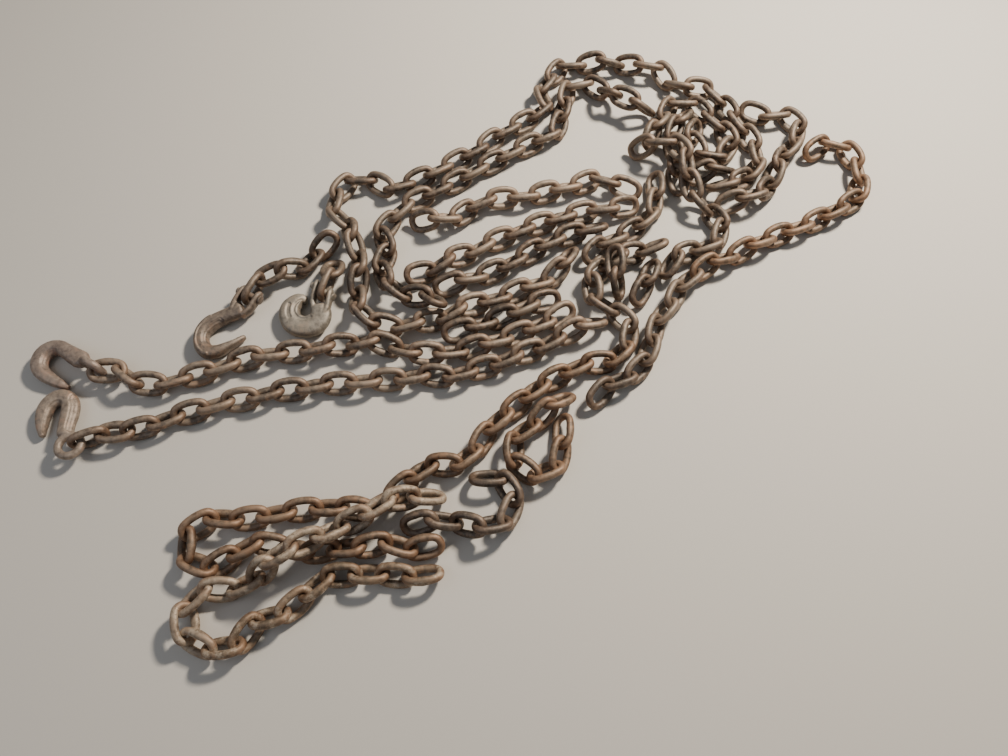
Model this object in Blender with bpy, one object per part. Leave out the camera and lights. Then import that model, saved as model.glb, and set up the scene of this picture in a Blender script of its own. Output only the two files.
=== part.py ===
"""Heap of iron chain: welded link chain with four forged hooks, in loose rows and loops on a level floor.

The chain is laid along routes. Each route is a list of places (x, y, level) in millimetres as seen from
above, the level counting how many chains lie beneath it there. Links follow the route at one pitch, every
second link rolled the other way, as a chain lies on a floor, and then sink until they rest on the floor and
on one another without passing through one another.
"""

import math

import bmesh
import bpy
import numpy as np
from mathutils import Vector
from mathutils.bvhtree import BVHTree

# driving dimensions, in millimetres
MM = 0.001
BAR = 10.0  # thickness of the round bar that a link is bent from
INSIDE_LENGTH = 31.0  # of a link, which is also the pitch of the chain
INSIDE_WIDTH = 14.5
ROLL = math.radians(45)  # a link on the floor leans this far from lying flat
BAR_SIDES = 4  # faces round the bar
FUSE = 0.5  # how far two links of one length of chain sink into each other where they touch
STEP = 0.8  # edges shorter than this round such a bite are drawn together
OPEN = 0.5  # between the crowns where one length of chain hangs in the next
LAY_GAP = 0.45  # between links that lie against each other
LINK_PLAY = 0.1  # sideways, of a link in the next length of chain
HOOK_GAP = 0.9  # between a link and a hook
RUN_LINKS = 6  # links in one length of chain
LEVEL_HEIGHT = 30.0  # what one level adds to the height that a chain is laid from
ROUTE_PITCH = 31.0  # the pitch that the routes below are drawn for
CURVE_STEPS = 16  # points of the smooth route between two places
LAY_STEPS = 330
LAST_STEPS = 70  # of them, only to clear what still touches
SINK = 0.7  # of the chains in a step
PULL_BACK = 0.03  # share of the way back over the route in a step
PUSH_APART = 1.3  # share of an overlap that a step takes away
SHARPEST_TURN = 1.5  # pitches between two joints with one joint between them, at the least
BEND_BITE = 2.2  # how far two links of one length may sink further into each other in a bend
HOOK_SIDES = 10
PIN_RADIUS = 4.5
PIN_CLEARANCE = 0.35  # round a pin in its ears
PIN_END = 3.0  # of a pin past its ears
PIN_REACH = 15.0  # from a pin's middle to its ends in what the chain lies against
BORE_REACH = 40.0  # from a pin's middle to the ends of the cutter of its bore

BAR_CORNER = BAR / 2 * math.sqrt(math.pi / (BAR_SIDES / 2 * math.sin(2 * math.pi / BAR_SIDES)))
BAR_FLAT = BAR_CORNER * math.cos(math.pi / BAR_SIDES)
HALF_WIDTH = (INSIDE_WIDTH + BAR) / 2
CROWN_FUSED = BAR_FLAT - FUSE / 2
CROWN_OPEN = BAR_CORNER + OPEN  # the most that a crown reaches past its joint
LAY_APART = 2 * BAR_CORNER + LAY_GAP
SPREAD = INSIDE_LENGTH / ROUTE_PITCH  # the routes grow with the links
TOUCH_RANGE = 2 * INSIDE_LENGTH  # what lies farther than this from a link's middle can't touch it

# the routes
# chain name: stretches in order, each a name and its places
CHAINS = [
    [
        ("eye_hook_row", [
            (-474.8, -34.6, 0.16), (-451, -48, 0), (-423, -56, 0), (-395, -54, 0), (-365, -41, 0),
            (-335, -36, 0),
            (-310, -21, 0), (-285, -14, 0), (-255, -6, 0), (-225, -5, 0), (-195, 0, 0), (-165, 4, 0),
            (-138, 8, 0), (-112, 11, 0), (-88, 14, 0), (-64, 12, 0), (-42, -2, 0), (-18, -6, 0), (6, 1, 0),
            (32, 14, 0), (58, 26, 0), (85, 38, 0), (112, 50, 0), (138, 64, 0), (158, 84, 0),
        ]),
    ],
    [
        ("grab_hook_row", [
            (-477.5, -129.5, 0.12), (-454, -118, 0), (-428, -116, 0), (-405, -110, 0), (-380, -102, 0),
            (-355, -90, 0), (-328, -82, 0), (-300, -73, 0), (-272, -68, 0), (-245, -60, 0), (-215, -56, 0),
            (-185, -50, 0), (-155, -48, 0), (-125, -44, 0), (-95, -44, 0), (-68, -36, 0), (-40, -36, 0),
            (-10, -30, 0), (18, -26, 0), (45, -12, 0), (72, 0, 0), (100, 14, 0), (128, 28, 0),
            (152, 34, 0), (176, 44, 0),
        ]),
    ],
    [
        ("middle_row", [
            (160, 138, 0), (140, 126, 0), (118, 104, 0), (92, 92, 0), (70, 78, 0), (46, 64, 0), (25, 53, 0),
            (2, 45, 0), (-22, 43, 0), (-48, 37, 0), (-74, 36, 0), (-100, 29, 0), (-124, 34, 0),
        ]),
        ("left_bend", [
            (-140, 54, 0), (-132, 76, 0), (-132, 98, 0), (-150, 112, 0), (-162, 132, 0), (-162, 158, 0),
            (-168, 182, 0), (-168, 206, 0), (-186, 226, 0), (-208, 240, 0), (-206, 262, 0),
        ]),
        ("back_row", [
            (-182, 258, 0), (-152, 255, 0), (-122, 254, 0), (-92, 264, 0), (-62, 276, 0), (-38, 292, 0),
            (-12, 308, 0), (4, 326, 0), (22, 341, 0), (42, 360, 0), (64, 374, 0), (88, 391, 0),
            (106, 406, 0), (110, 430, 0), (102, 450, 0), (110, 474, 0),
        ]),
        ("far_loop", [
            (132, 488, 0), (155, 494, 0), (182, 496, 0), (210, 498, 0), (240, 492, 0), (268, 483, 0),
            (294, 474, 0), (308, 452, 0), (328, 440, 1), (350, 442, 1), (366, 424, 1), (378, 404, 1),
            (390, 380, 1), (402, 358, 1), (414, 336, 1), (425, 316, 1), (410, 298, 1), (390, 282, 1),
            (368, 264, 1), (346, 272, 1), (326, 258, 1),
        ]),
    ],
    [
        ("far_loop_inside", [
            (272, 392, 1), (252, 403, 0), (228, 418, 0), (204, 428, 0), (188, 444, 0), (166, 457, 0),
            (146, 452, 0), (140, 428, 0), (142, 404, 0),
        ]),
        ("second_back_row", [
            (134, 382, 0), (116, 362, 0), (98, 348, 0), (78, 336, 0), (56, 322, 0), (32, 309, 0),
            (8, 296, 0), (-14, 282, 0), (-36, 266, 0), (-60, 252, 0), (-84, 242, 0), (-100, 224, 0),
        ]),
        ("second_left_bend", [
            (-108, 202, 0), (-113, 178, 0), (-114, 152, 0), (-124, 132, 0), (-118, 110, 0), (-102, 94, 0),
            (-82, 80, 0), (-60, 76, 1), (-48, 58, 1), (-58, 40, 1),
        ]),
    ],
    [
        ("third_row", [
            (-84, 212, 0), (-66, 196, 0), (-42, 200, 0), (-18, 218, 0), (10, 226, 0), (36, 238, 0),
            (65, 245, 0), (95, 246, 0), (120, 256, 0), (145, 262, 0), (168, 276, 0), (192, 270, 0),
            (214, 258, 0), (238, 250, 0),
        ]),
    ],
    [
        ("fourth_row", [
            (-82.4, 104, 0), (-60, 112.3, 0), (-38, 124, 0), (-22, 141, 0), (2, 149, 0), (25, 166, 0),
            (50, 175, 0), (75, 190, 0), (100, 198, 0), (128, 209, 0), (155, 211, 0), (182, 212, 0),
            (208, 222, 0), (232, 226, 0),
        ]),
    ],
    [
        ("fifth_row", [
            (-44, 92, 0), (-20, 99, 0), (5, 106, 0), (30, 118, 0), (55, 132, 0), (78, 147, 0),
            (100, 162, 0), (126, 171, 0), (152, 174, 0), (178, 178, 0), (204, 176, 0),
        ]),
    ],
    [
        ("row_between", [
            (-30, 18, 1), (-4, 26, 1), (22, 36, 1), (48, 44, 1), (76, 54, 1), (100, 68, 1), (128, 80, 1),
        ]),
    ],
    [
        ("steep_run", [
            (168, 128, 1), (184, 148, 1), (206, 168, 1), (226, 190, 1), (242, 214, 1), (256, 238, 1),
            (266, 264, 1), (262, 290, 1),
        ]),
    ],
    [
        ("standing_run", [
            (234, 326, 1), (258, 328, 2), (280, 322, 2), (294, 302, 2), (302, 280, 2), (312, 258, 2),
            (324, 236, 2), (333, 212, 2), (340, 188, 2), (342, 164, 1), (322, 150, 1), (302, 158, 1),
            (286, 150, 1), (274, 128, 1), (262, 108, 0),
        ]),
    ],
    [
        ("right_loop", [
            (404, 392, 0), (428, 386, 0), (452, 384, 0), (476, 388, 0), (496, 374, 0), (492, 352, 0),
            (470, 342, 0), (460, 318, 0), (446, 294, 0), (426, 270, 0), (406, 248, 0), (382, 240, 0),
            (362, 224, 0), (340, 232, 0),
        ]),
    ],
    [
        ("right_outer_loop", [
            (490, 332, 1), (514, 340, 0), (536, 328, 0), (554, 308, 0), (560, 284, 0), (550, 262, 0),
            (548, 240, 0), (524, 228, 0), (504, 212, 0), (480, 200, 0), (456, 194, 0), (430, 178, 0),
            (404, 170, 0), (380, 158, 0), (354, 150, 0), (332, 138, 0), (310, 124, 0),
        ]),
        ("right_strand", [
            (290, 108, 0), (278, 84, 0), (262, 62, 0), (246, 42, 0), (238, 16, 0), (230, -10, 0),
            (216, -32, 0), (192, -44, 0), (168, -54, 0), (154, -76, 0), (132, -88, 0),
        ]),
    ],
    [
        ("heap_top", [
            (258, 338, 1), (270, 362, 2), (286, 386, 2), (304, 408, 2), (330, 412, 2), (348, 392, 2),
            (358, 364, 2), (366, 338, 2), (362, 312, 2), (340, 306, 2), (334, 332, 1), (338, 360, 0),
            (336, 388, 0),
        ]),
    ],
    [
        ("heap_middle", [
            (312, 398, 1), (304, 372, 1), (303, 344, 1), (302, 314, 0), (298, 284, 0), (298, 256, 0),
            (308, 232, 0),
        ]),
    ],
    [
        ("heap_low", [(368, 300, 0), (340, 290, 1), (314, 280, 1)]),
    ],
    [
        ("near_heap", [
            (258, 156, 1), (230, 148, 1), (202, 142, 2), (178, 126, 2), (168, 100, 1), (182, 74, 1),
            (200, 56, 1), (212, 32, 1),
        ]),
        ("near_strand", [
            (195, 8, 0), (168, -10, 0), (142, -26, 0), (116, -42, 0), (92, -60, 0), (67, -77, 0),
            (44, -92, 0), (24, -116, 0), (6, -142, 0), (-18, -158, 0), (-46, -160, 0), (-70, -170, 0),
            (-76, -192, 0),
        ]),
        ("front_loop_back", [
            (-98, -206, 0), (-125, -207, 0), (-150, -213, 0), (-178, -208, 0), (-205, -216, 0),
            (-235, -216, 0), (-262, -226, 0), (-290, -234, 0), (-318, -248, 0), (-336, -270, 0),
            (-322, -290, 0), (-296, -280, 0),
        ]),
        ("front_loop_middle", [
            (-268, -266, 0), (-240, -256, 0), (-208, -252, 0), (-180, -260, 0),
            (-154, -262, 0), (-128, -252, 0), (-104, -246, 0), (-80, -252, 0), (-54, -250, 0),
            (-28, -252, 0), (-14, -270, 0),
        ]),
    ],
    [
        ("near_heap_cross", [(198, 136, 3), (186, 108, 3), (190, 76, 3)]),
    ],
    [
        ("near_heap_side", [(246, 130, 0), (236, 100, 0), (220, 72, 0)]),
    ],
    [
        ("second_strand", [
            (118, -64, 1), (96, -84, 1), (84, -108, 1), (62, -122, 0), (60, -146, 0), (62, -170, 0),
            (84, -182, 0), (98, -164, 0), (102, -138, 0), (106, -110, 0), (126, -102, 0), (142, -114, 0),
        ]),
    ],
    [
        ("dusty_row", [
            (-18, -194, 1), (-42, -198, 1), (-64, -210, 1), (-88, -216, 1), (-110, -226, 1),
            (-134, -234, 1), (-158, -246, 1), (-180, -258, 1), (-202, -270, 1), (-222, -284, 1),
            (-240, -300, 1), (-264, -308, 0), (-288, -314, 0), (-312, -318, 0), (-332, -334, 0),
            (-318, -354, 0), (-292, -360, 0),
        ]),
        ("front_row", [
            (-262, -352, 0), (-236, -346, 0), (-218, -330, 0),
            (-194, -324, 0), (-174, -308, 0), (-158, -290, 0), (-132, -288, 0), (-106, -286, 0),
            (-80, -290, 0), (-54, -284, 0), (-26, -286, 0),
        ]),
    ],
    [
        ("front_loop_end", [
            (-66, -230, 1), (-42, -226, 1), (-18, -228, 0), (4, -216, 0), (28, -216, 0), (50, -214, 0),
            (68, -198, 0), (52, -186, 0), (26, -184, 0), (2, -180, 0),
        ]),
    ],
    [
        ("slip_hook_chain", [
            (-294.9, 72.8, 0.2), (-291, 99, 0.1), (-268, 104, 0), (-240, 106, 0), (-223, 120, 0),
            (-213, 143, 1), (-182, 141, 1),
        ]),
    ],
    [
        ("clevis_grab_chain", [(-196.2, 77.5, 0.2), (-188.5, 107.5, 0.1), (-190, 141, 0)]),
    ],
]

# first links of the chains that end in a hook: how far each leans, in degrees, before the rest lean by ROLL
FIRST_LEANS = {
    "eye_hook_row": (10, -68, 34, -50),
    "grab_hook_row": (82, -20, 60, -38),
    "slip_hook_chain": (90, -5, 68, -30),
    "clevis_grab_chain": (90, -5),
}

# the hooks: places along the middle of the forging, with half its breadth and half its thickness
SLIP_EYE_HOOK = [
    (-491, -21, 19.0, 9.0, 7.5), (-496, -17.5, 18.2, 12.2, 8.0), (-507, -11, 16.5, 11.5, 8.8),
    (-520, -3, 14.0, 10.5, 9.0), (-532, 3, 11.6, 10.5, 9.2), (-544, 1, 10.3, 11.0, 9.4),
    (-552, -8, 9.6, 11.5, 9.4), (-553, -21, 9.5, 11.0, 9.3), (-546, -32, 9.2, 10.0, 8.8),
    (-534, -40, 8.4, 8.5, 8.0), (-522, -46, 7.0, 6.5, 6.6), (-512, -50, 5.2, 4.0, 4.6),
]
SLIP_EYE = ((-478, -27.5, 19.4), (0.48, 0.88, 0.0), 14.0, 5.2)
GRAB_EYE_HOOK = [
    (-494, -119, 16.2, 10.0, 7.5), (-496, -106, 13.9, 10.5, 8.0), (-497, -90, 11.5, 11.5, 8.5),
    (-500, -76, 9.7, 11.5, 8.8), (-509, -67, 9.1, 11.0, 8.8), (-520, -68, 8.9, 11.0, 8.8),
    (-529, -78, 8.8, 10.5, 8.7), (-531, -92, 8.6, 9.5, 8.5), (-530, -105, 7.6, 7.0, 7.5),
    (-528, -116, 5.8, 4.0, 5.2),
]
GRAB_EYE = ((-484, -134, 18.4), (0.0, 0.12, 1.0), 13.8, 5.0)
SLIP_CLEVIS_HOOK = [
    (-302.8, 58.5, 17.3, 13.0, 7.6), (-309, 55.5, 14.8, 11.5, 8.6), (-316, 52, 13.0, 10.5, 9.1),
    (-328, 47, 11.2, 10.5, 9.4), (-342, 38, 9.9, 11.5, 9.4), (-350, 25, 9.5, 10.5, 9.4),
    (-349, 10, 9.5, 10.5, 9.4), (-340, -1, 9.5, 10.5, 9.4), (-327, 0, 9.5, 9.5, 9.4),
    (-313, 8, 9.0, 6.5, 8.4), (-302.5, 15.5, 7.6, 4.8, 6.6), (-296.5, 21, 6.0, 3.0, 4.6),
]
SLIP_PIN = ((-293, 77, 19.6), (0.90, -0.43, 0.0))
GRAB_CLEVIS_HOOK = [
    (-199, 61, 17.0, 12.5, 8.0), (-197, 50, 14.0, 15.0, 9.0), (-203, 39.5, 11.5, 16.0, 9.7),
    (-216, 34.5, 10.0, 15.5, 9.9), (-230, 38.5, 10.0, 15.5, 9.9), (-238.5, 50, 10.0, 14.5, 9.9),
    (-239, 63, 10.0, 14.0, 9.8), (-232, 73, 9.6, 11.0, 9.4), (-226, 76.5, 9.0, 8.0, 8.4),
    (-221.5, 75.5, 8.5, 5.5, 6.5),
]
GRAB_PIN = ((-196, 83, 19.6), (0.83, -0.55, 0.0))
# name, path, eye and pin
HOOKS = [
    ("eye_slip_hook", SLIP_EYE_HOOK, SLIP_EYE, None),
    ("eye_grab_hook", GRAB_EYE_HOOK, GRAB_EYE, None),
    ("clevis_slip_hook", SLIP_CLEVIS_HOOK, None, SLIP_PIN),
    ("clevis_grab_hook", GRAB_CLEVIS_HOOK, None, GRAB_PIN),
]
EAR_SPREAD = 11.7  # from the middle of a clevis to the middle of an ear
EAR_HALF = 4.0  # half the thickness of an ear
EAR_REACH = 8.0  # of an ear past its pin


def drop_startup():
    for obj in list(bpy.data.objects):
        bpy.data.objects.remove(obj, do_unlink=True)


# laying the chain
def smooth_route(places):
    """A curve through the places, as close points (Catmull-Rom)."""
    p = np.array(places, float)
    p = np.vstack([2 * p[0] - p[1], p, 2 * p[-1] - p[-2]])
    out = []
    for i in range(1, len(p) - 2):
        for k in range(CURVE_STEPS):
            t = k / CURVE_STEPS
            a, b, c, d = p[i - 1], p[i], p[i + 1], p[i + 2]
            out.append(
                0.5 * (2 * b + (c - a) * t + (2 * a - 5 * b + 4 * c - d) * t * t
                       + (3 * b - a - 3 * c + d) * t * t * t)
            )
    out.append(p[-2])
    return np.array(out)


def walk(points, stretch_at):
    """Joints one pitch apart along the points, and the stretch that each link belongs to."""
    joints, names = [points[0]], []
    here, i = points[0], 0
    while True:
        while i + 1 < len(points) and math.dist(points[i + 1], here) < INSIDE_LENGTH:
            i += 1
        if i + 1 >= len(points):
            return np.array(joints), names
        a, b = points[i], points[i + 1]
        low, high = 0.0, 1.0
        for _ in range(40):
            mid = (low + high) / 2
            if math.dist(a + (b - a) * mid, here) < INSIDE_LENGTH:
                low = mid
            else:
                high = mid
        names.append(stretch_at[i])
        here = a + (b - a) * high
        joints.append(here)


def route_joints(chain):
    places = [
        (x * SPREAD, y * SPREAD, level * LEVEL_HEIGHT * SPREAD)
        for _, stretch in chain for x, y, level in stretch
    ]
    curve = smooth_route(places)
    owner = [name for name, stretch in chain for _ in stretch]
    stretch_at = [owner[min(i // CURVE_STEPS, len(owner) - 1)] for i in range(len(curve))]
    return walk(curve, stretch_at)


def ring_outline(left=CROWN_FUSED, right=CROWN_FUSED):
    """The eight corners of a link's middle line: along the chain from the link's middle, and across."""
    w = HALF_WIDTH
    a, b = INSIDE_LENGTH / 2 + left, INSIDE_LENGTH / 2 + right
    return [(b, -0.5 * w), (b, 0.5 * w), (b - 0.62 * w, w), (-a + 0.62 * w, w),
            (-a, 0.5 * w), (-a, -0.5 * w), (-a + 0.62 * w, -w), (b - 0.62 * w, -w)]


def frames(start, end, lean):
    """Middle, direction along, and direction across, of links between their two joints."""
    along = end - start
    along = along / np.sqrt((along * along).sum(-1, keepdims=True))
    side = np.stack([-along[:, 1], along[:, 0], np.zeros(len(along))], -1)
    side = side / np.sqrt((side * side).sum(-1, keepdims=True))
    up = np.cross(along, side)
    across = side * np.cos(lean)[:, None] + up * np.sin(lean)[:, None]
    return (start + end) / 2, along, across


def closest(p1, q1, p2, q2):
    """Closest points of two sets of line pieces, as shares along them."""
    d1, d2, r = q1 - p1, q2 - p2, p1 - p2
    a, e = (d1 * d1).sum(-1), (d2 * d2).sum(-1)
    f, c, b = (d2 * r).sum(-1), (d1 * r).sum(-1), (d1 * d2).sum(-1)
    denom = np.maximum(a * e - b * b, 1e-9)
    s = np.clip((b * f - c * e) / denom, 0, 1)
    t = (b * s + f) / e
    t_in = np.clip(t, 0, 1)
    s = np.where(t != t_in, np.clip((b * t_in - c) / a, 0, 1), s)
    return s, t_in


def near_pairs(middles):
    """Links that could touch."""
    found = []
    for i in range(len(middles)):
        d = middles[i + 1:] - middles[i]
        found += [(i, i + 1 + int(j)) for j in np.nonzero((d * d).sum(-1) < TOUCH_RANGE ** 2)[0]]
    return np.array(found, int)


def grown(sizes):
    """Places and sizes of a hook, which grows with the chain's pitch."""
    return tuple(size * SPREAD for size in sizes)


def placed_hooks():
    """The hooks as the table gives them, grown with the chain."""
    placed = []
    for name, path, eye, pin in HOOKS:
        eye = eye and (grown(eye[0]), eye[1], *grown(eye[2:]))
        pin = pin and (grown(pin[0]), pin[1])
        placed.append((name, [grown(place) for place in path], eye, pin))
    return placed


def ears_of(hook, pin):
    """The two ears of a clevis: paths from the hook's wide end past the pin."""
    (px, py, pz), (ax, ay, _) = pin
    bx, by, bz = hook[0][:3]
    length = math.dist((px, py, pz), (bx, by, bz))
    dx, dy, dz = (px - bx) / length, (py - by) / length, (pz - bz) / length
    out = []
    for sign in (-1, 1):
        sx, sy = sign * EAR_SPREAD * ax, sign * EAR_SPREAD * ay
        out.append([
            (bx + sx * 0.7 - dx * 7, by + sy * 0.7 - dy * 7, bz - dz * 7, EAR_HALF, 6.5),
            (bx + sx + dx * 3, by + sy + dy * 3, bz + dz * 3, EAR_HALF, 7.5),
            (px + sx, py + sy, pz, EAR_HALF, 8.5),
            (px + sx + dx * 5, py + sy + dy * 5, pz + dz * 5, EAR_HALF, 7.6),
            (px + sx + dx * EAR_REACH, py + sy + dy * EAR_REACH, pz + dz * EAR_REACH, EAR_HALF * 0.8, 5.0),
        ])
    return out


def pin_ends(pin, reach):
    (px, py, pz), (ax, ay, az) = pin
    return [(px + ax * way, py + ay * way, pz + az * way) for way in (-reach, reach)]


def hook_lines():
    """The hooks as line pieces with a thickness, for the chain to lie against."""
    lines = []
    for _, path, eye, pin in placed_hooks():
        for p, q in zip(path[:-1], path[1:]):
            lines.append((p[:3], q[:3], (max(p[3], q[3]) + max(p[4], q[4])) / 2))
        if pin:
            for ear in ears_of(path, pin):
                for p, q in zip(ear[1:-1], ear[2:]):
                    lines.append((p[:3], q[:3], EAR_HALF))
            lines.append((*pin_ends(pin, PIN_REACH), PIN_RADIUS))
            continue
        centre, axis, radius, bar = eye
        u, v = ring_axes(axis)
        corners = []
        for i in range(12):
            angle = 2 * math.pi * i / 12
            corners.append(tuple(
                centre[k] + radius * (u[k] * math.cos(angle) + v[k] * math.sin(angle)) for k in range(3)
            ))
        for i in range(12):
            lines.append((corners[i], corners[(i + 1) % 12], bar))
    return lines


def ring_axes(axis):
    """Two directions across an axis."""
    axis = Vector(axis).normalized()
    u = axis.orthogonal().normalized()
    return u, axis.cross(u)


def leans(names):
    """How far each link of a chain leans."""
    lean = np.where(np.arange(len(names)) % 2 == 0, ROLL, -ROLL)
    first = FIRST_LEANS.get(names[0], ())
    lean[:len(first)] = np.radians(first)[:len(names)]
    return lean


def lengths_of(names):
    """The first and last link of each length of chain, each length within one stretch."""
    found, start, n = [], 0, len(names)
    while start < n:
        end = start
        while end < n and names[end] == names[start]:
            end += 1
        pieces = max(1, round((end - start) / RUN_LINKS))
        cuts = [start + (end - start) * piece // pieces for piece in range(pieces + 1)]
        found += list(zip(cuts[:-1], cuts[1:]))
        start = end
    return found


def lay(chains):
    """Lets the chains sink from the heights they were laid at until they rest."""
    joints, start, chain_of, order, held = [], [], [], [], []
    offset = 0
    for c, (points, names) in enumerate(chains):
        joints.append(points)
        n = len(points) - 1
        start += list(range(offset, offset + n))
        chain_of += [c] * n
        order += list(range(n))
        if names[0] in FIRST_LEANS:
            held.append(offset)
        offset += len(points)
    P = np.vstack(joints)
    P[:, 2] += HALF_WIDTH * math.sin(ROLL) + BAR_CORNER
    home = P.copy()
    A = np.array(start)
    B = A + 1
    order = np.array(order)
    lean = np.concatenate([leans(names) for _, names in chains])
    crowns = (CROWN_FUSED, CROWN_OPEN)
    shape = np.array([
        ring_outline(crowns[i == first], crowns[i == last - 1])
        for _, names in chains for first, last in lengths_of(names) for i in range(first, last)
    ])
    length_of = np.array([
        k for c, (_, names) in enumerate(chains)
        for k, (first, last) in enumerate(lengths_of(names)) for _ in range(first, last)
    ])
    chain_of = np.array(chain_of)
    lines = hook_lines()
    H1, H2 = np.array([p for p, _, _ in lines], float), np.array([q for _, q, _ in lines], float)
    thick = np.array([r for _, _, r in lines])
    # joints that have a link on both sides
    inner = np.array([a for a in A if a in set(B.tolist())])
    pairs = None
    for step in range(LAY_STEPS):
        if step < LAY_STEPS - LAST_STEPS:
            P[:, 2] -= SINK
            P[:, :2] += PULL_BACK * (home[:, :2] - P[:, :2])
        middle, along, across = frames(P[A], P[B], lean)
        if pairs is None or step % 6 == 0:
            pairs = near_pairs(middle)
            I, J = pairs[:, 0], pairs[:, 1]
            beside = (chain_of[I] == chain_of[J]) & (np.abs(order[I] - order[J]) == 1)
            joined = beside & (length_of[I] == length_of[J])
            wanted = np.where(beside, HALF_WIDTH - LINK_PLAY, LAY_APART)
            wanted[joined] = 2 * CROWN_FUSED - BEND_BITE
        V = middle[:, None] + shape[:, :, :1] * along[:, None] + shape[:, :, 1:] * across[:, None]
        W = np.roll(V, -1, axis=1)
        s, t = closest(V[I][:, :, None], W[I][:, :, None], V[J][:, None], W[J][:, None])
        one = V[I][:, :, None] + s[..., None] * (W[I] - V[I])[:, :, None]
        two = V[J][:, None] + t[..., None] * (W[J] - V[J])[:, None]
        away = one - two
        apart = np.sqrt((away * away).sum(-1)).reshape(len(I), -1)
        worst = apart.argmin(1)
        k = np.arange(len(I))
        gap = apart[k, worst]
        hit = gap < wanted - 1e-3
        moved = np.zeros_like(P)
        weight = np.zeros(len(P))
        bent = np.nonzero(hit & beside)[0]
        if len(bent):
            # neighbours that bite in a bend are straightened
            a, b = A[I[bent]], B[J[bent]]
            n = P[b] - P[a]
            n = n / np.sqrt((n * n).sum(-1, keepdims=True)) * (wanted - gap)[bent][:, None]
            np.add.at(moved, a, -n)
            np.add.at(moved, b, n)
            np.add.at(weight, a, 1)
            np.add.at(weight, b, 1)
        hit &= ~beside
        if hit.any():
            k, worst, short = k[hit], worst[hit], (wanted - gap)[hit]
            gap = gap[hit]
            n = away.reshape(len(I), -1, 3)[k, worst] / np.maximum(gap, 1e-6)[:, None]
            for points, index, sign in ((one, I[hit], 1.0), (two, J[hit], -1.0)):
                at = points.reshape(len(I), -1, 3)[k, worst]
                share = ((at - P[A[index]]) * along[index]).sum(-1) / INSIDE_LENGTH
                share = np.clip(share, 0, 1)
                push = 0.5 * short / (share ** 2 + (1 - share) ** 2)
                for joint, part in ((A[index], 1 - share), (B[index], share)):
                    np.add.at(moved, joint, sign * n * (push * part)[:, None])
                    np.add.at(weight, joint, part > 0.1)
        # links against the hooks, which stay where they are
        close = middle[:, None] - (H1 + H2)[None] / 2
        K, M = np.nonzero((close * close).sum(-1) < TOUCH_RANGE ** 2)
        s, t = closest(V[K], W[K], H1[M][:, None], H2[M][:, None])
        one = V[K] + s[..., None] * (W[K] - V[K])
        away = one - (H1[M][:, None] + t[..., None] * (H2 - H1)[M][:, None])
        apart = np.sqrt((away * away).sum(-1))
        worst = apart.argmin(1)
        k = np.arange(len(K))
        need = BAR_CORNER + thick[M] + HOOK_GAP
        short = need - apart[k, worst]
        k = k[short > 0]
        if len(k):
            n = away[k, worst[k]] / np.maximum(apart[k, worst[k]], 1e-6)[:, None]
            share = np.clip(((one[k, worst[k]] - P[A[K[k]]]) * along[K[k]]).sum(-1) / INSIDE_LENGTH, 0, 1)
            push = short[k] / (share ** 2 + (1 - share) ** 2)
            for joint, part in ((A[K[k]], 1 - share), (B[K[k]], share)):
                np.add.at(moved, joint, n * (push * part)[:, None])
                np.add.at(weight, joint, part > 0.1)
        P += moved / np.maximum(weight, 1)[:, None] * PUSH_APART
        # the floor, and the length of a link, and how sharply a chain turns
        for _ in range(4):
            middle, along, across = frames(P[A], P[B], lean)
            V = middle[:, None] + shape[:, :, :1] * along[:, None] + shape[:, :, 1:] * across[:, None]
            low = V[:, :, 2].min(1)
            lift = np.maximum(BAR_CORNER - low, 0)
            top = np.zeros(len(P))
            np.maximum.at(top, A, lift)
            np.maximum.at(top, B, lift)
            P[:, 2] += top
            for parity in (0, 1):
                pick = order % 2 == parity
                a, b = A[pick], B[pick]
                d = P[b] - P[a]
                length = np.sqrt((d * d).sum(-1, keepdims=True))
                fix = d * (0.5 * (length - INSIDE_LENGTH) / length)
                P[a] += fix
                P[b] -= fix
            for parity in (0, 1):
                mid = inner[parity::2]
                d = P[mid + 1] - P[mid - 1]
                length = np.sqrt((d * d).sum(-1, keepdims=True))
                fix = d * (0.5 * np.minimum(length - SHARPEST_TURN * INSIDE_LENGTH, 0) / length)
                P[mid - 1] += fix
                P[mid + 1] -= fix
            P[held] = home[held]
    ends = np.cumsum([len(points) for points, _ in chains])
    return np.split(P, ends[:-1])


# making the solids
def make_object(name, verts, faces, material, smooth=True):
    mesh = bpy.data.meshes.new(name)
    mesh.from_pydata([tuple(float(c) * MM for c in v) for v in verts], [], faces)
    obj = bpy.data.objects.new(name, mesh)
    bpy.context.scene.collection.objects.link(obj)
    bm = bmesh.new()
    bm.from_mesh(mesh)
    bmesh.ops.recalc_face_normals(bm, faces=bm.faces)
    bm.to_mesh(mesh)
    bm.free()
    for polygon in mesh.polygons:
        polygon.use_smooth = smooth
    mesh.materials.append(material)
    return obj


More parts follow.
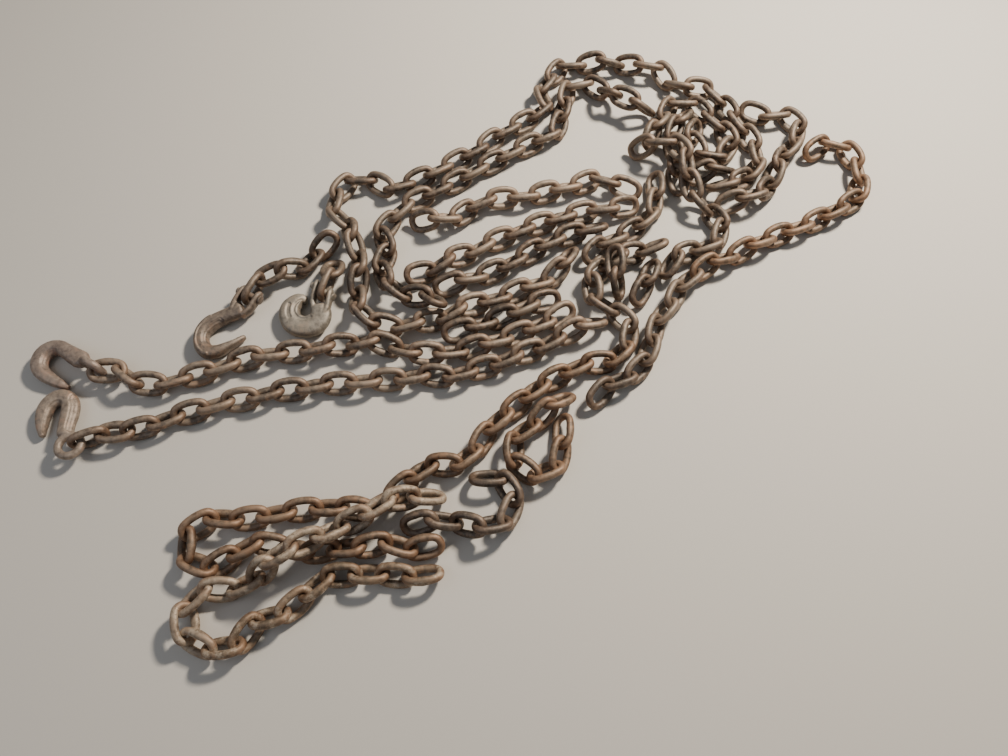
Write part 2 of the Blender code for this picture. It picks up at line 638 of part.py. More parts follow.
def ring_mesh(middle, along, across, outline):
    """One link: a closed bar of few sides round the outline."""
    normal = np.cross(along, across)
    n = len(outline)
    verts, faces = [], []
    for i in range(n):
        here = np.array(outline[i])
        before, after = here - np.array(outline[i - 1]), np.array(outline[(i + 1) % n]) - here
        before, after = before / np.hypot(*before), after / np.hypot(*after)
        tangent = before + after
        tangent /= np.hypot(*tangent)
        outward = np.array([tangent[1], -tangent[0]])
        stretch = 1 / (tangent * after).sum()
        for k in range(BAR_SIDES):
            angle = 2 * math.pi * (k + 0.5) / BAR_SIDES
            # a flat faces inwards, where the next link touches
            flat = here - outward * math.cos(angle) * BAR_CORNER * stretch
            rise = math.sin(angle) * BAR_CORNER
            verts.append(middle + along * flat[0] + across * flat[1] + normal * rise)
    for i in range(n):
        for k in range(BAR_SIDES):
            a, b = i * BAR_SIDES, ((i + 1) % n) * BAR_SIDES
            faces.append((a + k, a + (k + 1) % BAR_SIDES, b + (k + 1) % BAR_SIDES, b + k))
    return verts, faces


def tube(path, sides=HOOK_SIDES, squash=0.85):
    """A forging of rounded section, level across, along (x, y, z, half breadth, half thickness)."""
    verts, faces = [], []
    n = len(path)
    pts = [Vector(p[:3]) for p in path]
    for i, p in enumerate(path):
        tangent = (pts[min(i + 1, n - 1)] - pts[max(i - 1, 0)]).normalized()
        side = Vector((0, 0, 1)).cross(tangent).normalized()
        up = tangent.cross(side)
        for k in range(sides):
            angle = 2 * math.pi * (k + 0.5) / sides
            c, s = math.cos(angle), math.sin(angle)
            # a rounded oblong rather than an oval
            c = math.copysign(abs(c) ** squash, c)
            s = math.copysign(abs(s) ** squash, s)
            verts.append(pts[i] + side * (c * p[3]) + up * (s * p[4]))
    for i in range(n - 1):
        for k in range(sides):
            a, b = i * sides, (i + 1) * sides
            faces.append((a + k, a + (k + 1) % sides, b + (k + 1) % sides, b + k))
    faces.append(tuple(range(sides)))
    faces.append(tuple((n - 1) * sides + k for k in range(sides)))
    return verts, faces


def torus(centre, axis, radius, bar, around=12, sides=6):
    axis = Vector(axis).normalized()
    u, v = ring_axes(axis)
    centre = Vector(centre)
    verts, faces = [], []
    for i in range(around):
        angle = 2 * math.pi * i / around
        out = u * math.cos(angle) + v * math.sin(angle)
        for k in range(sides):
            turn = 2 * math.pi * (k + 0.5) / sides
            verts.append(centre + out * (radius + bar * math.cos(turn)) + axis * (bar * math.sin(turn)))
    for i in range(around):
        for k in range(sides):
            a, b = i * sides, ((i + 1) % around) * sides
            faces.append((a + k, a + (k + 1) % sides, b + (k + 1) % sides, b + k))
    return verts, faces


def rod(start, end, radius, sides=12):
    """A round rod with flat ends."""
    start, end = Vector(start), Vector(end)
    along = (end - start).normalized()
    u = along.orthogonal().normalized()
    v = along.cross(u)
    verts, faces = [], []
    for point in (start, end):
        for k in range(sides):
            angle = 2 * math.pi * k / sides
            verts.append(point + (u * math.cos(angle) + v * math.sin(angle)) * radius)
    for k in range(sides):
        faces.append((k, (k + 1) % sides, sides + (k + 1) % sides, sides + k))
    faces.append(tuple(range(sides)))
    faces.append(tuple(sides + k for k in range(sides)))
    return verts, faces


def combine(obj, other, operation="UNION"):
    """A Boolean, applied, after which the other object is gone."""
    modifier = obj.modifiers.new(operation.lower(), "BOOLEAN")
    modifier.operation = operation
    modifier.solver = "EXACT"
    modifier.object = other
    graph = bpy.context.evaluated_depsgraph_get()
    graph.update()
    made = bpy.data.meshes.new_from_object(obj.evaluated_get(graph))
    obj.modifiers.clear()
    old = obj.data
    obj.data = made
    bpy.data.meshes.remove(old)
    bpy.data.objects.remove(other, do_unlink=True)


def material(name, colour, roughness, metallic):
    made = bpy.data.materials.new(name)
    made.use_nodes = True
    shader = made.node_tree.nodes["Principled BSDF"]
    shader.inputs["Base Color"].default_value = (*colour, 1)
    shader.inputs["Roughness"].default_value = roughness
    shader.inputs["Metallic"].default_value = metallic
    return made


def clear_reach(before, after):
    """How far the crowns of two links reach past their joint where they lie OPEN clear of each other."""
    low, high = CROWN_FUSED, CROWN_OPEN - OPEN / 2
    for _ in range(9):
        mid = (low + high) / 2
        one = BVHTree.FromPolygons(*ring_mesh(*before, ring_outline(CROWN_FUSED, mid)))
        two = BVHTree.FromPolygons(*ring_mesh(*after, ring_outline(mid, CROWN_FUSED)))
        if one.overlap(two):
            low = mid
        else:
            high = mid
    return high + OPEN / 2


def build_runs(chains, laid, rusty):
    for (_, names), joints in zip(chains, laid):
        n = len(names)
        lean = leans(names)
        middle, along, across = frames(joints[:-1], joints[1:], lean)
        reach = [CROWN_OPEN] + [CROWN_FUSED] * n
        count = {}
        for _, last in lengths_of(names)[:-1]:
            reach[last] = clear_reach(*((middle[i], along[i], across[i]) for i in (last - 1, last)))
        for first, last in lengths_of(names):
            obj = None
            for i in range(first, last):
                outline = ring_outline(
                    reach[i] if i == first else CROWN_FUSED, reach[i + 1] if i == last - 1 else CROWN_FUSED
                )
                verts, faces = ring_mesh(middle[i], along[i], across[i], outline)
                link = make_object("link", verts, faces, rusty)
                if obj is None:
                    obj = link
                else:
                    combine(obj, link)
            keep_outside(obj)
            count[names[first]] = count.get(names[first], 0) + 1
            obj.name = f"{names[first]}_{count[names[first]]}"


def draw_steps_together(bm):
    """Draws short edges together, one at a time, where the surface stays closed."""
    bmesh.ops.triangulate(bm, faces=bm.faces)
    for edge in [edge for edge in bm.edges if edge.calc_length() < STEP * MM]:
        if not edge.is_valid:
            continue
        near = [{other.other_vert(vert) for other in vert.link_edges} for vert in edge.verts]
        if len(near[0] & near[1]) == 2:
            bmesh.ops.collapse(bm, edges=[edge])


def keep_outside(obj):
    """Leaves only the largest closed surface, without the steps round a bite or pockets sealed in it."""
    bm = bmesh.new()
    bm.from_mesh(obj.data)
    draw_steps_together(bm)
    left, groups = set(bm.faces), []
    while left:
        group, todo = [], [left.pop()]
        while todo:
            face = todo.pop()
            group.append(face)
            for edge in face.edges:
                beside = left.intersection(edge.link_faces)
                left -= beside
                todo += beside
        groups.append(group)
    groups.sort(key=len)
    for group in groups[:-1]:
        bmesh.ops.delete(bm, geom=group, context="FACES")
    bm.to_mesh(obj.data)
    bm.free()


def build_hooks(forged):
    for name, path, eye, pin in placed_hooks():
        hook = make_object(name, *tube(path), forged)
        if eye:
            combine(hook, make_object("eye", *torus(*eye), forged))
            continue
        for ear in ears_of(path, pin):
            combine(hook, make_object("ear", *tube(ear, 8), forged))
        bore = rod(*pin_ends(pin, BORE_REACH), PIN_RADIUS + PIN_CLEARANCE)
        combine(hook, make_object("bore", *bore, forged), "DIFFERENCE")
        reach = EAR_SPREAD + EAR_HALF + PIN_END
        make_object(f"{name}_pin", *rod(*pin_ends(pin, reach), PIN_RADIUS), forged)


def main():
    drop_startup()
    rusty = material("rusty_chain", (0.16, 0.095, 0.06), 0.75, 0.6)
    forged = material("forged_hook", (0.19, 0.15, 0.12), 0.65, 0.7)
    chains = [route_joints(chain) for chain in CHAINS]
    build_runs(chains, lay(chains), rusty)
    build_hooks(forged)
    # the origin is on the floor under the middle of the heap
    corners = np.array([tuple(vert.co) for obj in bpy.data.objects for vert in obj.data.vertices])
    low, high = corners.min(0), corners.max(0)
    shift = Vector(((low[0] + high[0]) / 2, (low[1] + high[1]) / 2, low[2]))
    for obj in bpy.data.objects:
        for vert in obj.data.vertices:
            vert.co -= shift
    print("moved by", [round(-c / MM, 3) for c in shift])


main()
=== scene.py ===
"""The heap of iron chain as it looks: links bent from round bar and welded, forged hooks, rust, and dust
with painted light on the tops.

The chain follows the same routes as its solids, and is laid by the same rules. It then settles once more
with its bars at their true round thickness, so that the links lie on the floor and on one another.
"""

import math
import random

import bpy
import numpy as np
from mathutils import Matrix, Vector


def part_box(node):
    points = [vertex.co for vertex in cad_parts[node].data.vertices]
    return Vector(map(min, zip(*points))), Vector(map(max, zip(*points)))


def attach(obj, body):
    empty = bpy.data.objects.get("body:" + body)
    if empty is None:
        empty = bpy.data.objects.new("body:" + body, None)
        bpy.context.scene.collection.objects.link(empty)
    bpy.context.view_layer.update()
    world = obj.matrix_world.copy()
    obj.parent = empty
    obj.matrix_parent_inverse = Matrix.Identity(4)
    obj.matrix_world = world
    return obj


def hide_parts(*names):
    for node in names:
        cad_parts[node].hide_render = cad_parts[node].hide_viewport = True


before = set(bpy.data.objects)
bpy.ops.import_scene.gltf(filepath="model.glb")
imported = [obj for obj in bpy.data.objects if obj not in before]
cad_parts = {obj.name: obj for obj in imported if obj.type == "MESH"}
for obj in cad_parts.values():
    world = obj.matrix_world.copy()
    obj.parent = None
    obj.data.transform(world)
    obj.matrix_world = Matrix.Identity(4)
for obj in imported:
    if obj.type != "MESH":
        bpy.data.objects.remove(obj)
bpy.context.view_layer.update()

MM = 0.001
BAR = 10.0  # the round bar that a link is bent from, in millimetres as all sizes of the chain are here
INSIDE_LENGTH = 31.0  # of a link, which is also the pitch of the chain
INSIDE_WIDTH = 14.5
ROLL = math.radians(45)  # a link on the floor leans this far from lying flat
FUSE = 0.5  # how far two links of one solid sink into each other where they touch
OPEN = 0.5  # between the crowns where one solid length of chain hangs in the next
LAY_GAP = 0.45  # between the solids of links that lie against each other
LINK_PLAY = 0.1  # sideways, of a link in the next length of chain
HOOK_GAP = 0.9  # between a solid link and a hook
RUN_LINKS = 6  # links in one length of chain
LEVEL_HEIGHT = 30.0  # what one level adds to the height that a chain is laid from
CURVE_STEPS = 16  # points of the smooth route between two places
LAST_STEPS = 70  # of the laying, only to clear what still touches
PUSH_APART = 1.3  # share of an overlap that a step takes away
SHARPEST_TURN = 1.5  # pitches between two joints with one joint between them, at the least
BEND_BITE = 2.2  # how far two links of one solid may sink further into each other in a bend
PIN_RADIUS = 4.5
PIN_CLEARANCE = 0.35  # round a pin in its ears
PIN_END = 3.0  # of a pin past its ears
PIN_REACH = 15.0  # from a pin's middle to its ends in what the chain lies against

SOLID_CORNER = BAR / 2 * math.sqrt(math.pi / 2)  # half the diagonal of the solids' square bar
SOLID_FLAT = SOLID_CORNER * math.cos(math.pi / 4)
HALF_WIDTH = (INSIDE_WIDTH + BAR) / 2
CROWN_FUSED = SOLID_FLAT - FUSE / 2
CROWN_OPEN = SOLID_CORNER + OPEN
TOUCH_RANGE = 2 * INSIDE_LENGTH  # what lies farther than this from a link's middle can't touch it
# how the chain is laid as its solids are, and how it then settles with its real, round bar
AS_SOLIDS = {
    "half_bar": SOLID_CORNER, "lay_gap": LAY_GAP, "hook_gap": HOOK_GAP,
    "joined_gap": 2 * CROWN_FUSED - BEND_BITE, "hung_gap": HALF_WIDTH - LINK_PLAY,
    "steps": 330, "sink": 0.7, "pull": 0.03,
}
AS_ROUND_BAR = {
    "half_bar": BAR / 2, "lay_gap": 0.05, "hook_gap": 0.3, "joined_gap": BAR - 2.4, "hung_gap": BAR - 2.0,
    "steps": 170, "sink": 0.12, "pull": 0.03,
}
RING_SHRINK = 0.9665  # what one subdivision leaves of a ring of twelve points
BAR_SHRINK = 0.87  # and of a bar of six
WELD_WIDTH = 3.2  # from the middle of a weld to its edge
SKIN_STEP = 0.8  # faces on a forging's skin
FORGING_UNEVEN = 0.5  # between the hollows and the humps of a forging's skin
END_ROUNDING = [(0.55, 0.45), (0.4, 0.75), (0.2, 0.93)]  # shares of the half thickness: out, and its size
FORGED_CORNERS = 1.09  # how much fuller a forged section is at its corners than an ellipse
DENT_SIZE = 9.0  # of the hollows and humps of a forging's skin
PIN_HEAD_NECK = 0.4  # of a pin between its ear and its head
PIN_HEAD_SWELL = 1.35
PIN_HEAD_EDGE, PIN_HEAD_DOME = 1.6, 0.9  # how high the head's edge is, and the dome on it
PIN_DOME_SHRINK = 0.62
PIN_CHAMFER, PIN_CHAMFER_SHRINK = 0.6, 0.8
SMOOTH_UNDER = math.radians(35)  # edges of a pin that look rounded
LINK_WELDS = [  # how much the bar swells at the weld, and how far it steps aside there, in millimetres
    ("link_plain_weld", 1.06, 0.0), ("link_swollen_weld", 1.2, 0.0), ("link_stepped_weld", 1.1, 0.6),
]
SEED = 7  # of the draws that turn the links and shade them
TONE_SPREAD = 0.16  # between the links' shades, up or down
# how far apart the features of the steel's patterns are
RUST_PATCHES = 26.0
OXIDE_MOTTLE = 6.0
PITTING = 1.5  # finer pits wouldn't show
MUD_CAKES = 14.0
MUD_SPECKS = 3.2
DRIED_MUD = "#b6a48d"
PICTURE_WIDTH_PX = 1008
CAMERA_FOCAL_PX = 800
CAMERA_LOOKS_DOWN = math.radians(65)
CAMERA_PLACE = (44.6, -470.7, 935.3)  # where the camera stands among the routes

# The routes: places (x, y, level) in millimetres as seen from above, level counting the chains beneath.
# chain name: stretches in order, each a name and its places
CHAINS = [
    [
        ("eye_hook_row", [
            (-474.8, -34.6, 0.16), (-451, -48, 0), (-423, -56, 0), (-395, -54, 0), (-365, -41, 0),
            (-335, -36, 0),
            (-310, -21, 0), (-285, -14, 0), (-255, -6, 0), (-225, -5, 0), (-195, 0, 0), (-165, 4, 0),
            (-138, 8, 0), (-112, 11, 0), (-88, 14, 0), (-64, 12, 0), (-42, -2, 0), (-18, -6, 0), (6, 1, 0),
            (32, 14, 0), (58, 26, 0), (85, 38, 0), (112, 50, 0), (138, 64, 0), (158, 84, 0),
        ]),
    ],
    [
        ("grab_hook_row", [
            (-477.5, -129.5, 0.12), (-454, -118, 0), (-428, -116, 0), (-405, -110, 0), (-380, -102, 0),
            (-355, -90, 0), (-328, -82, 0), (-300, -73, 0), (-272, -68, 0), (-245, -60, 0), (-215, -56, 0),
            (-185, -50, 0), (-155, -48, 0), (-125, -44, 0), (-95, -44, 0), (-68, -36, 0), (-40, -36, 0),
            (-10, -30, 0), (18, -26, 0), (45, -12, 0), (72, 0, 0), (100, 14, 0), (128, 28, 0),
            (152, 34, 0), (176, 44, 0),
        ]),
    ],
    [
        ("middle_row", [
            (160, 138, 0), (140, 126, 0), (118, 104, 0), (92, 92, 0), (70, 78, 0), (46, 64, 0), (25, 53, 0),
            (2, 45, 0), (-22, 43, 0), (-48, 37, 0), (-74, 36, 0), (-100, 29, 0), (-124, 34, 0),
        ]),
        ("left_bend", [
            (-140, 54, 0), (-132, 76, 0), (-132, 98, 0), (-150, 112, 0), (-162, 132, 0), (-162, 158, 0),
            (-168, 182, 0), (-168, 206, 0), (-186, 226, 0), (-208, 240, 0), (-206, 262, 0),
        ]),
        ("back_row", [
            (-182, 258, 0), (-152, 255, 0), (-122, 254, 0), (-92, 264, 0), (-62, 276, 0), (-38, 292, 0),
            (-12, 308, 0), (4, 326, 0), (22, 341, 0), (42, 360, 0), (64, 374, 0), (88, 391, 0),
            (106, 406, 0), (110, 430, 0), (102, 450, 0), (110, 474, 0),
        ]),
        ("far_loop", [
            (132, 488, 0), (155, 494, 0), (182, 496, 0), (210, 498, 0), (240, 492, 0), (268, 483, 0),
            (294, 474, 0), (308, 452, 0), (328, 440, 1), (350, 442, 1), (366, 424, 1), (378, 404, 1),
            (390, 380, 1), (402, 358, 1), (414, 336, 1), (425, 316, 1), (410, 298, 1), (390, 282, 1),
            (368, 264, 1), (346, 272, 1), (326, 258, 1),
        ]),
    ],
    [
        ("far_loop_inside", [
            (272, 392, 1), (252, 403, 0), (228, 418, 0), (204, 428, 0), (188, 444, 0), (166, 457, 0),
            (146, 452, 0), (140, 428, 0), (142, 404, 0),
        ]),
        ("second_back_row", [
            (134, 382, 0), (116, 362, 0), (98, 348, 0), (78, 336, 0), (56, 322, 0), (32, 309, 0),
            (8, 296, 0), (-14, 282, 0), (-36, 266, 0), (-60, 252, 0), (-84, 242, 0), (-100, 224, 0),
        ]),
        ("second_left_bend", [
            (-108, 202, 0), (-113, 178, 0), (-114, 152, 0), (-124, 132, 0), (-118, 110, 0), (-102, 94, 0),
            (-82, 80, 0), (-60, 76, 1), (-48, 58, 1), (-58, 40, 1),
        ]),
    ],
    [
        ("third_row", [
            (-84, 212, 0), (-66, 196, 0), (-42, 200, 0), (-18, 218, 0), (10, 226, 0), (36, 238, 0),
            (65, 245, 0), (95, 246, 0), (120, 256, 0), (145, 262, 0), (168, 276, 0), (192, 270, 0),
            (214, 258, 0), (238, 250, 0),
        ]),
    ],
    [
        ("fourth_row", [
            (-82.4, 104, 0), (-60, 112.3, 0), (-38, 124, 0), (-22, 141, 0), (2, 149, 0), (25, 166, 0),
            (50, 175, 0), (75, 190, 0), (100, 198, 0), (128, 209, 0), (155, 211, 0), (182, 212, 0),
            (208, 222, 0), (232, 226, 0),
        ]),
    ],
    [
        ("fifth_row", [
            (-44, 92, 0), (-20, 99, 0), (5, 106, 0), (30, 118, 0), (55, 132, 0), (78, 147, 0),
            (100, 162, 0), (126, 171, 0), (152, 174, 0), (178, 178, 0), (204, 176, 0),
        ]),
    ],
    [
        ("row_between", [
            (-30, 18, 1), (-4, 26, 1), (22, 36, 1), (48, 44, 1), (76, 54, 1), (100, 68, 1), (128, 80, 1),
        ]),
    ],
    [
        ("steep_run", [
            (168, 128, 1), (184, 148, 1), (206, 168, 1), (226, 190, 1), (242, 214, 1), (256, 238, 1),
            (266, 264, 1), (262, 290, 1),
        ]),
    ],
    [
        ("standing_run", [
            (234, 326, 1), (258, 328, 2), (280, 322, 2), (294, 302, 2), (302, 280, 2), (312, 258, 2),
            (324, 236, 2), (333, 212, 2), (340, 188, 2), (342, 164, 1), (322, 150, 1), (302, 158, 1),
            (286, 150, 1), (274, 128, 1), (262, 108, 0),
        ]),
    ],
    [
        ("right_loop", [
            (404, 392, 0), (428, 386, 0), (452, 384, 0), (476, 388, 0), (496, 374, 0), (492, 352, 0),
            (470, 342, 0), (460, 318, 0), (446, 294, 0), (426, 270, 0), (406, 248, 0), (382, 240, 0),
            (362, 224, 0), (340, 232, 0),
        ]),
    ],
    [
        ("right_outer_loop", [
            (490, 332, 1), (514, 340, 0), (536, 328, 0), (554, 308, 0), (560, 284, 0), (550, 262, 0),
            (548, 240, 0), (524, 228, 0), (504, 212, 0), (480, 200, 0), (456, 194, 0), (430, 178, 0),
            (404, 170, 0), (380, 158, 0), (354, 150, 0), (332, 138, 0), (310, 124, 0),
        ]),
        ("right_strand", [
            (290, 108, 0), (278, 84, 0), (262, 62, 0), (246, 42, 0), (238, 16, 0), (230, -10, 0),
            (216, -32, 0), (192, -44, 0), (168, -54, 0), (154, -76, 0), (132, -88, 0),
        ]),
    ],
    [
        ("heap_top", [
            (258, 338, 1), (270, 362, 2), (286, 386, 2), (304, 408, 2), (330, 412, 2), (348, 392, 2),
            (358, 364, 2), (366, 338, 2), (362, 312, 2), (340, 306, 2), (334, 332, 1), (338, 360, 0),
            (336, 388, 0),
        ]),
    ],
    [
        ("heap_middle", [
            (312, 398, 1), (304, 372, 1), (303, 344, 1), (302, 314, 0), (298, 284, 0), (298, 256, 0),
            (308, 232, 0),
        ]),
    ],
    [
        ("heap_low", [(368, 300, 0), (340, 290, 1), (314, 280, 1)]),
    ],
    [
        ("near_heap", [
            (258, 156, 1), (230, 148, 1), (202, 142, 2), (178, 126, 2), (168, 100, 1), (182, 74, 1),
            (200, 56, 1), (212, 32, 1),
        ]),
        ("near_strand", [
            (195, 8, 0), (168, -10, 0), (142, -26, 0), (116, -42, 0), (92, -60, 0), (67, -77, 0),
            (44, -92, 0), (24, -116, 0), (6, -142, 0), (-18, -158, 0), (-46, -160, 0), (-70, -170, 0),
            (-76, -192, 0),
        ]),
        ("front_loop_back", [
            (-98, -206, 0), (-125, -207, 0), (-150, -213, 0), (-178, -208, 0), (-205, -216, 0),
            (-235, -216, 0), (-262, -226, 0), (-290, -234, 0), (-318, -248, 0), (-336, -270, 0),
            (-322, -290, 0), (-296, -280, 0),
        ]),
        ("front_loop_middle", [
            (-268, -266, 0), (-240, -256, 0), (-208, -252, 0), (-180, -260, 0),
            (-154, -262, 0), (-128, -252, 0), (-104, -246, 0), (-80, -252, 0), (-54, -250, 0),
            (-28, -252, 0), (-14, -270, 0),
        ]),
    ],
    [
        ("near_heap_cross", [(198, 136, 3), (186, 108, 3), (190, 76, 3)]),
    ],
    [
        ("near_heap_side", [(246, 130, 0), (236, 100, 0), (220, 72, 0)]),
    ],
    [
        ("second_strand", [
            (118, -64, 1), (96, -84, 1), (84, -108, 1), (62, -122, 0), (60, -146, 0), (62, -170, 0),
            (84, -182, 0), (98, -164, 0), (102, -138, 0), (106, -110, 0), (126, -102, 0), (142, -114, 0),
        ]),
    ],
    [
        ("dusty_row", [
            (-18, -194, 1), (-42, -198, 1), (-64, -210, 1), (-88, -216, 1), (-110, -226, 1),
            (-134, -234, 1), (-158, -246, 1), (-180, -258, 1), (-202, -270, 1), (-222, -284, 1),
            (-240, -300, 1), (-264, -308, 0), (-288, -314, 0), (-312, -318, 0), (-332, -334, 0),
            (-318, -354, 0), (-292, -360, 0),
        ]),
        ("front_row", [
            (-262, -352, 0), (-236, -346, 0), (-218, -330, 0),
            (-194, -324, 0), (-174, -308, 0), (-158, -290, 0), (-132, -288, 0), (-106, -286, 0),
            (-80, -290, 0), (-54, -284, 0), (-26, -286, 0),
        ]),
    ],
    [
        ("front_loop_end", [
            (-66, -230, 1), (-42, -226, 1), (-18, -228, 0), (4, -216, 0), (28, -216, 0), (50, -214, 0),
            (68, -198, 0), (52, -186, 0), (26, -184, 0), (2, -180, 0),
        ]),
    ],
    [
        ("slip_hook_chain", [
            (-294.9, 72.8, 0.2), (-291, 99, 0.1), (-268, 104, 0), (-240, 106, 0), (-223, 120, 0),
            (-213, 143, 1), (-182, 141, 1),
        ]),
    ],
    [
        ("clevis_grab_chain", [(-196.2, 77.5, 0.2), (-188.5, 107.5, 0.1), (-190, 141, 0)]),
    ],
]

# first links of the chains that end in a hook: how far each leans, in degrees, before the rest lean by ROLL
FIRST_LEANS = {
    "eye_hook_row": (10, -68, 34, -50),
    "grab_hook_row": (82, -20, 60, -38),
    "slip_hook_chain": (90, -5, 68, -30),
    "clevis_grab_chain": (90, -5),
}

# the hooks: places along the middle of the forging, with half its breadth and half its thickness
SLIP_EYE_HOOK = [
    (-491, -21, 19.0, 9.0, 7.5), (-496, -17.5, 18.2, 12.2, 8.0), (-507, -11, 16.5, 11.5, 8.8),
    (-520, -3, 14.0, 10.5, 9.0), (-532, 3, 11.6, 10.5, 9.2), (-544, 1, 10.3, 11.0, 9.4),
    (-552, -8, 9.6, 11.5, 9.4), (-553, -21, 9.5, 11.0, 9.3), (-546, -32, 9.2, 10.0, 8.8),
    (-534, -40, 8.4, 8.5, 8.0), (-522, -46, 7.0, 6.5, 6.6), (-512, -50, 5.2, 4.0, 4.6),
]
SLIP_EYE = ((-478, -27.5, 19.4), (0.48, 0.88, 0.0), 14.0, 5.2)
GRAB_EYE_HOOK = [
    (-494, -119, 16.2, 10.0, 7.5), (-496, -106, 13.9, 10.5, 8.0), (-497, -90, 11.5, 11.5, 8.5),
    (-500, -76, 9.7, 11.5, 8.8), (-509, -67, 9.1, 11.0, 8.8), (-520, -68, 8.9, 11.0, 8.8),
    (-529, -78, 8.8, 10.5, 8.7), (-531, -92, 8.6, 9.5, 8.5), (-530, -105, 7.6, 7.0, 7.5),
    (-528, -116, 5.8, 4.0, 5.2),
]
GRAB_EYE = ((-484, -134, 18.4), (0.0, 0.12, 1.0), 13.8, 5.0)
SLIP_CLEVIS_HOOK = [
    (-302.8, 58.5, 17.3, 13.0, 7.6), (-309, 55.5, 14.8, 11.5, 8.6), (-316, 52, 13.0, 10.5, 9.1),
    (-328, 47, 11.2, 10.5, 9.4), (-342, 38, 9.9, 11.5, 9.4), (-350, 25, 9.5, 10.5, 9.4),
    (-349, 10, 9.5, 10.5, 9.4), (-340, -1, 9.5, 10.5, 9.4), (-327, 0, 9.5, 9.5, 9.4),
    (-313, 8, 9.0, 6.5, 8.4), (-302.5, 15.5, 7.6, 4.8, 6.6), (-296.5, 21, 6.0, 3.0, 4.6),
]
SLIP_PIN = ((-293, 77, 19.6), (0.90, -0.43, 0.0))
GRAB_CLEVIS_HOOK = [
    (-199, 61, 17.0, 12.5, 8.0), (-197, 50, 14.0, 15.0, 9.0), (-203, 39.5, 11.5, 16.0, 9.7),
    (-216, 34.5, 10.0, 15.5, 9.9), (-230, 38.5, 10.0, 15.5, 9.9), (-238.5, 50, 10.0, 14.5, 9.9),
    (-239, 63, 10.0, 14.0, 9.8), (-232, 73, 9.6, 11.0, 9.4), (-226, 76.5, 9.0, 8.0, 8.4),
    (-221.5, 75.5, 8.5, 5.5, 6.5),
]
GRAB_PIN = ((-196, 83, 19.6), (0.83, -0.55, 0.0))
# name, path, eye and pin
HOOKS = [
    ("eye_slip_hook", SLIP_EYE_HOOK, SLIP_EYE, None),
    ("eye_grab_hook", GRAB_EYE_HOOK, GRAB_EYE, None),
    ("clevis_slip_hook", SLIP_CLEVIS_HOOK, None, SLIP_PIN),
    ("clevis_grab_hook", GRAB_CLEVIS_HOOK, None, GRAB_PIN),
]
EAR_SPREAD = 11.7  # from the middle of a clevis to the middle of an ear
EAR_HALF = 4.0  # half the thickness of an ear
EAR_REACH = 8.0  # of an ear past its pin

# strips on the hooks' upper faces: between which places of the path, between which shares of the half
# breadth, and how far they rise
HOOK_STRIPS = {
    "eye_slip_hook": [((3.4, 10.0), (0.4, 1.3), -1.2), ((3.8, 9.5), (0.62, 1.3), -1.3)],
    "eye_grab_hook": [
        ((-0.5, 3.6), (-1.3, -0.15), -1.1), ((-0.5, 3.4), (-1.3, -0.4), -1.2),
        ((3.2, 9.5), (0.5, 1.3), -1.2),
    ],
    "clevis_slip_hook": [
        ((3.5, 7.3), (-0.8, -0.42), 1.7), ((2.8, 10.5), (0.22, 1.3), -1.1),
        ((3.0, 10.0), (0.45, 1.3), -1.3), ((3.2, 9.6), (0.68, 1.3), -1.4),
    ],
    "clevis_grab_hook": [
        ((4.5, 6.3), (-0.18, 0.26), -1.8), ((1.6, 8.6), (-0.6, -0.38), -1.2),
        ((1.8, 8.6), (-0.95, -0.62), 0.7),
    ],
}

# The chain's steel: a thin skin of brown oxide over rolled bar, which leaves it satin and a little mottled.
# dark and light are the oxide's shades, rust the fresh rust, then the pale colour that faces turned up are
# mixed towards, partly dust and partly painted light on the tops, and how much.
CHAIN_FINISHES = {
    "weathered_chain_steel": {
        "dark": "#393029", "light": "#7f7060", "rust": "#816149", "dust_and_top_light_colour": "#9b8c7b", "dust_and_top_light_amount": 0.5,
    },
    "dusty_chain_steel": {
        "dark": "#443830", "light": "#8f7d6b", "rust": "#90694c", "dust_and_top_light_colour": "#ae9e8a", "dust_and_top_light_amount": 0.6,
    },
    "chain_steel_with_fresh_rust": {
        "dark": "#46372a", "light": "#89705a", "rust": "#936543", "dust_and_top_light_colour": "#a7937c", "dust_and_top_light_amount": 0.55,
    },
    "chain_steel_spattered_with_mud": {
        "dark": "#493a2c", "light": "#8b735c", "rust": "#946746", "dust_and_top_light_colour": "#ac9980", "dust_and_top_light_amount": 0.65,
        "mud": 0.35,
    },
    "chain_steel_with_dried_mud": {
        "dark": "#4b3d32", "light": "#917b66", "rust": "#976d50", "dust_and_top_light_colour": "#b3a28b", "dust_and_top_light_amount": 0.75,
        "mud": 0.6,
    },
}
FINISHED_ALIKE = {
    "dusty_chain_steel": ["eye_hook_row", "grab_hook_row", "middle_row", "third_row", "fourth_row"],
    "chain_steel_with_fresh_rust": [
        "near_strand", "front_loop_back", "front_loop_middle", "right_outer_loop", "second_strand",
    ],
    "chain_steel_spattered_with_mud": ["front_row"],
    "chain_steel_with_dried_mud": ["dusty_row"],
}
# The hooks' steel was hammered hot in a die: a tighter skin than the bar's, in paler and more even
# shades.
HOOK_FINISHES = {
    "eye_slip_hook": {
        "name": "forged_steel_with_reddish_rust",
        "dark": "#6b5b51", "light": "#9c897a", "rust": "#9b6f58", "dust_and_top_light_colour": "#b2a291", "dust_and_top_light_amount": 0.55,
    },
    "eye_grab_hook": {
        "name": "forged_steel_with_brown_rust",
        "dark": "#6b5c50", "light": "#9f8d7c", "rust": "#9e755a", "dust_and_top_light_colour": "#b6a693", "dust_and_top_light_amount": 0.55,
    },
    "clevis_slip_hook": {
        "name": "forged_steel_with_dark_scale",
        "dark": "#564940", "light": "#8a7b6c", "rust": "#84644f", "dust_and_top_light_colour": "#a59684", "dust_and_top_light_amount": 0.5,
    },
    "clevis_grab_hook": {
        "name": "forged_steel_greyed_by_dust",
        "dark": "#6b6358", "light": "#9c9283", "rust": "#967e66", "dust_and_top_light_colour": "#b0a696", "dust_and_top_light_amount": 0.55,
    },
}


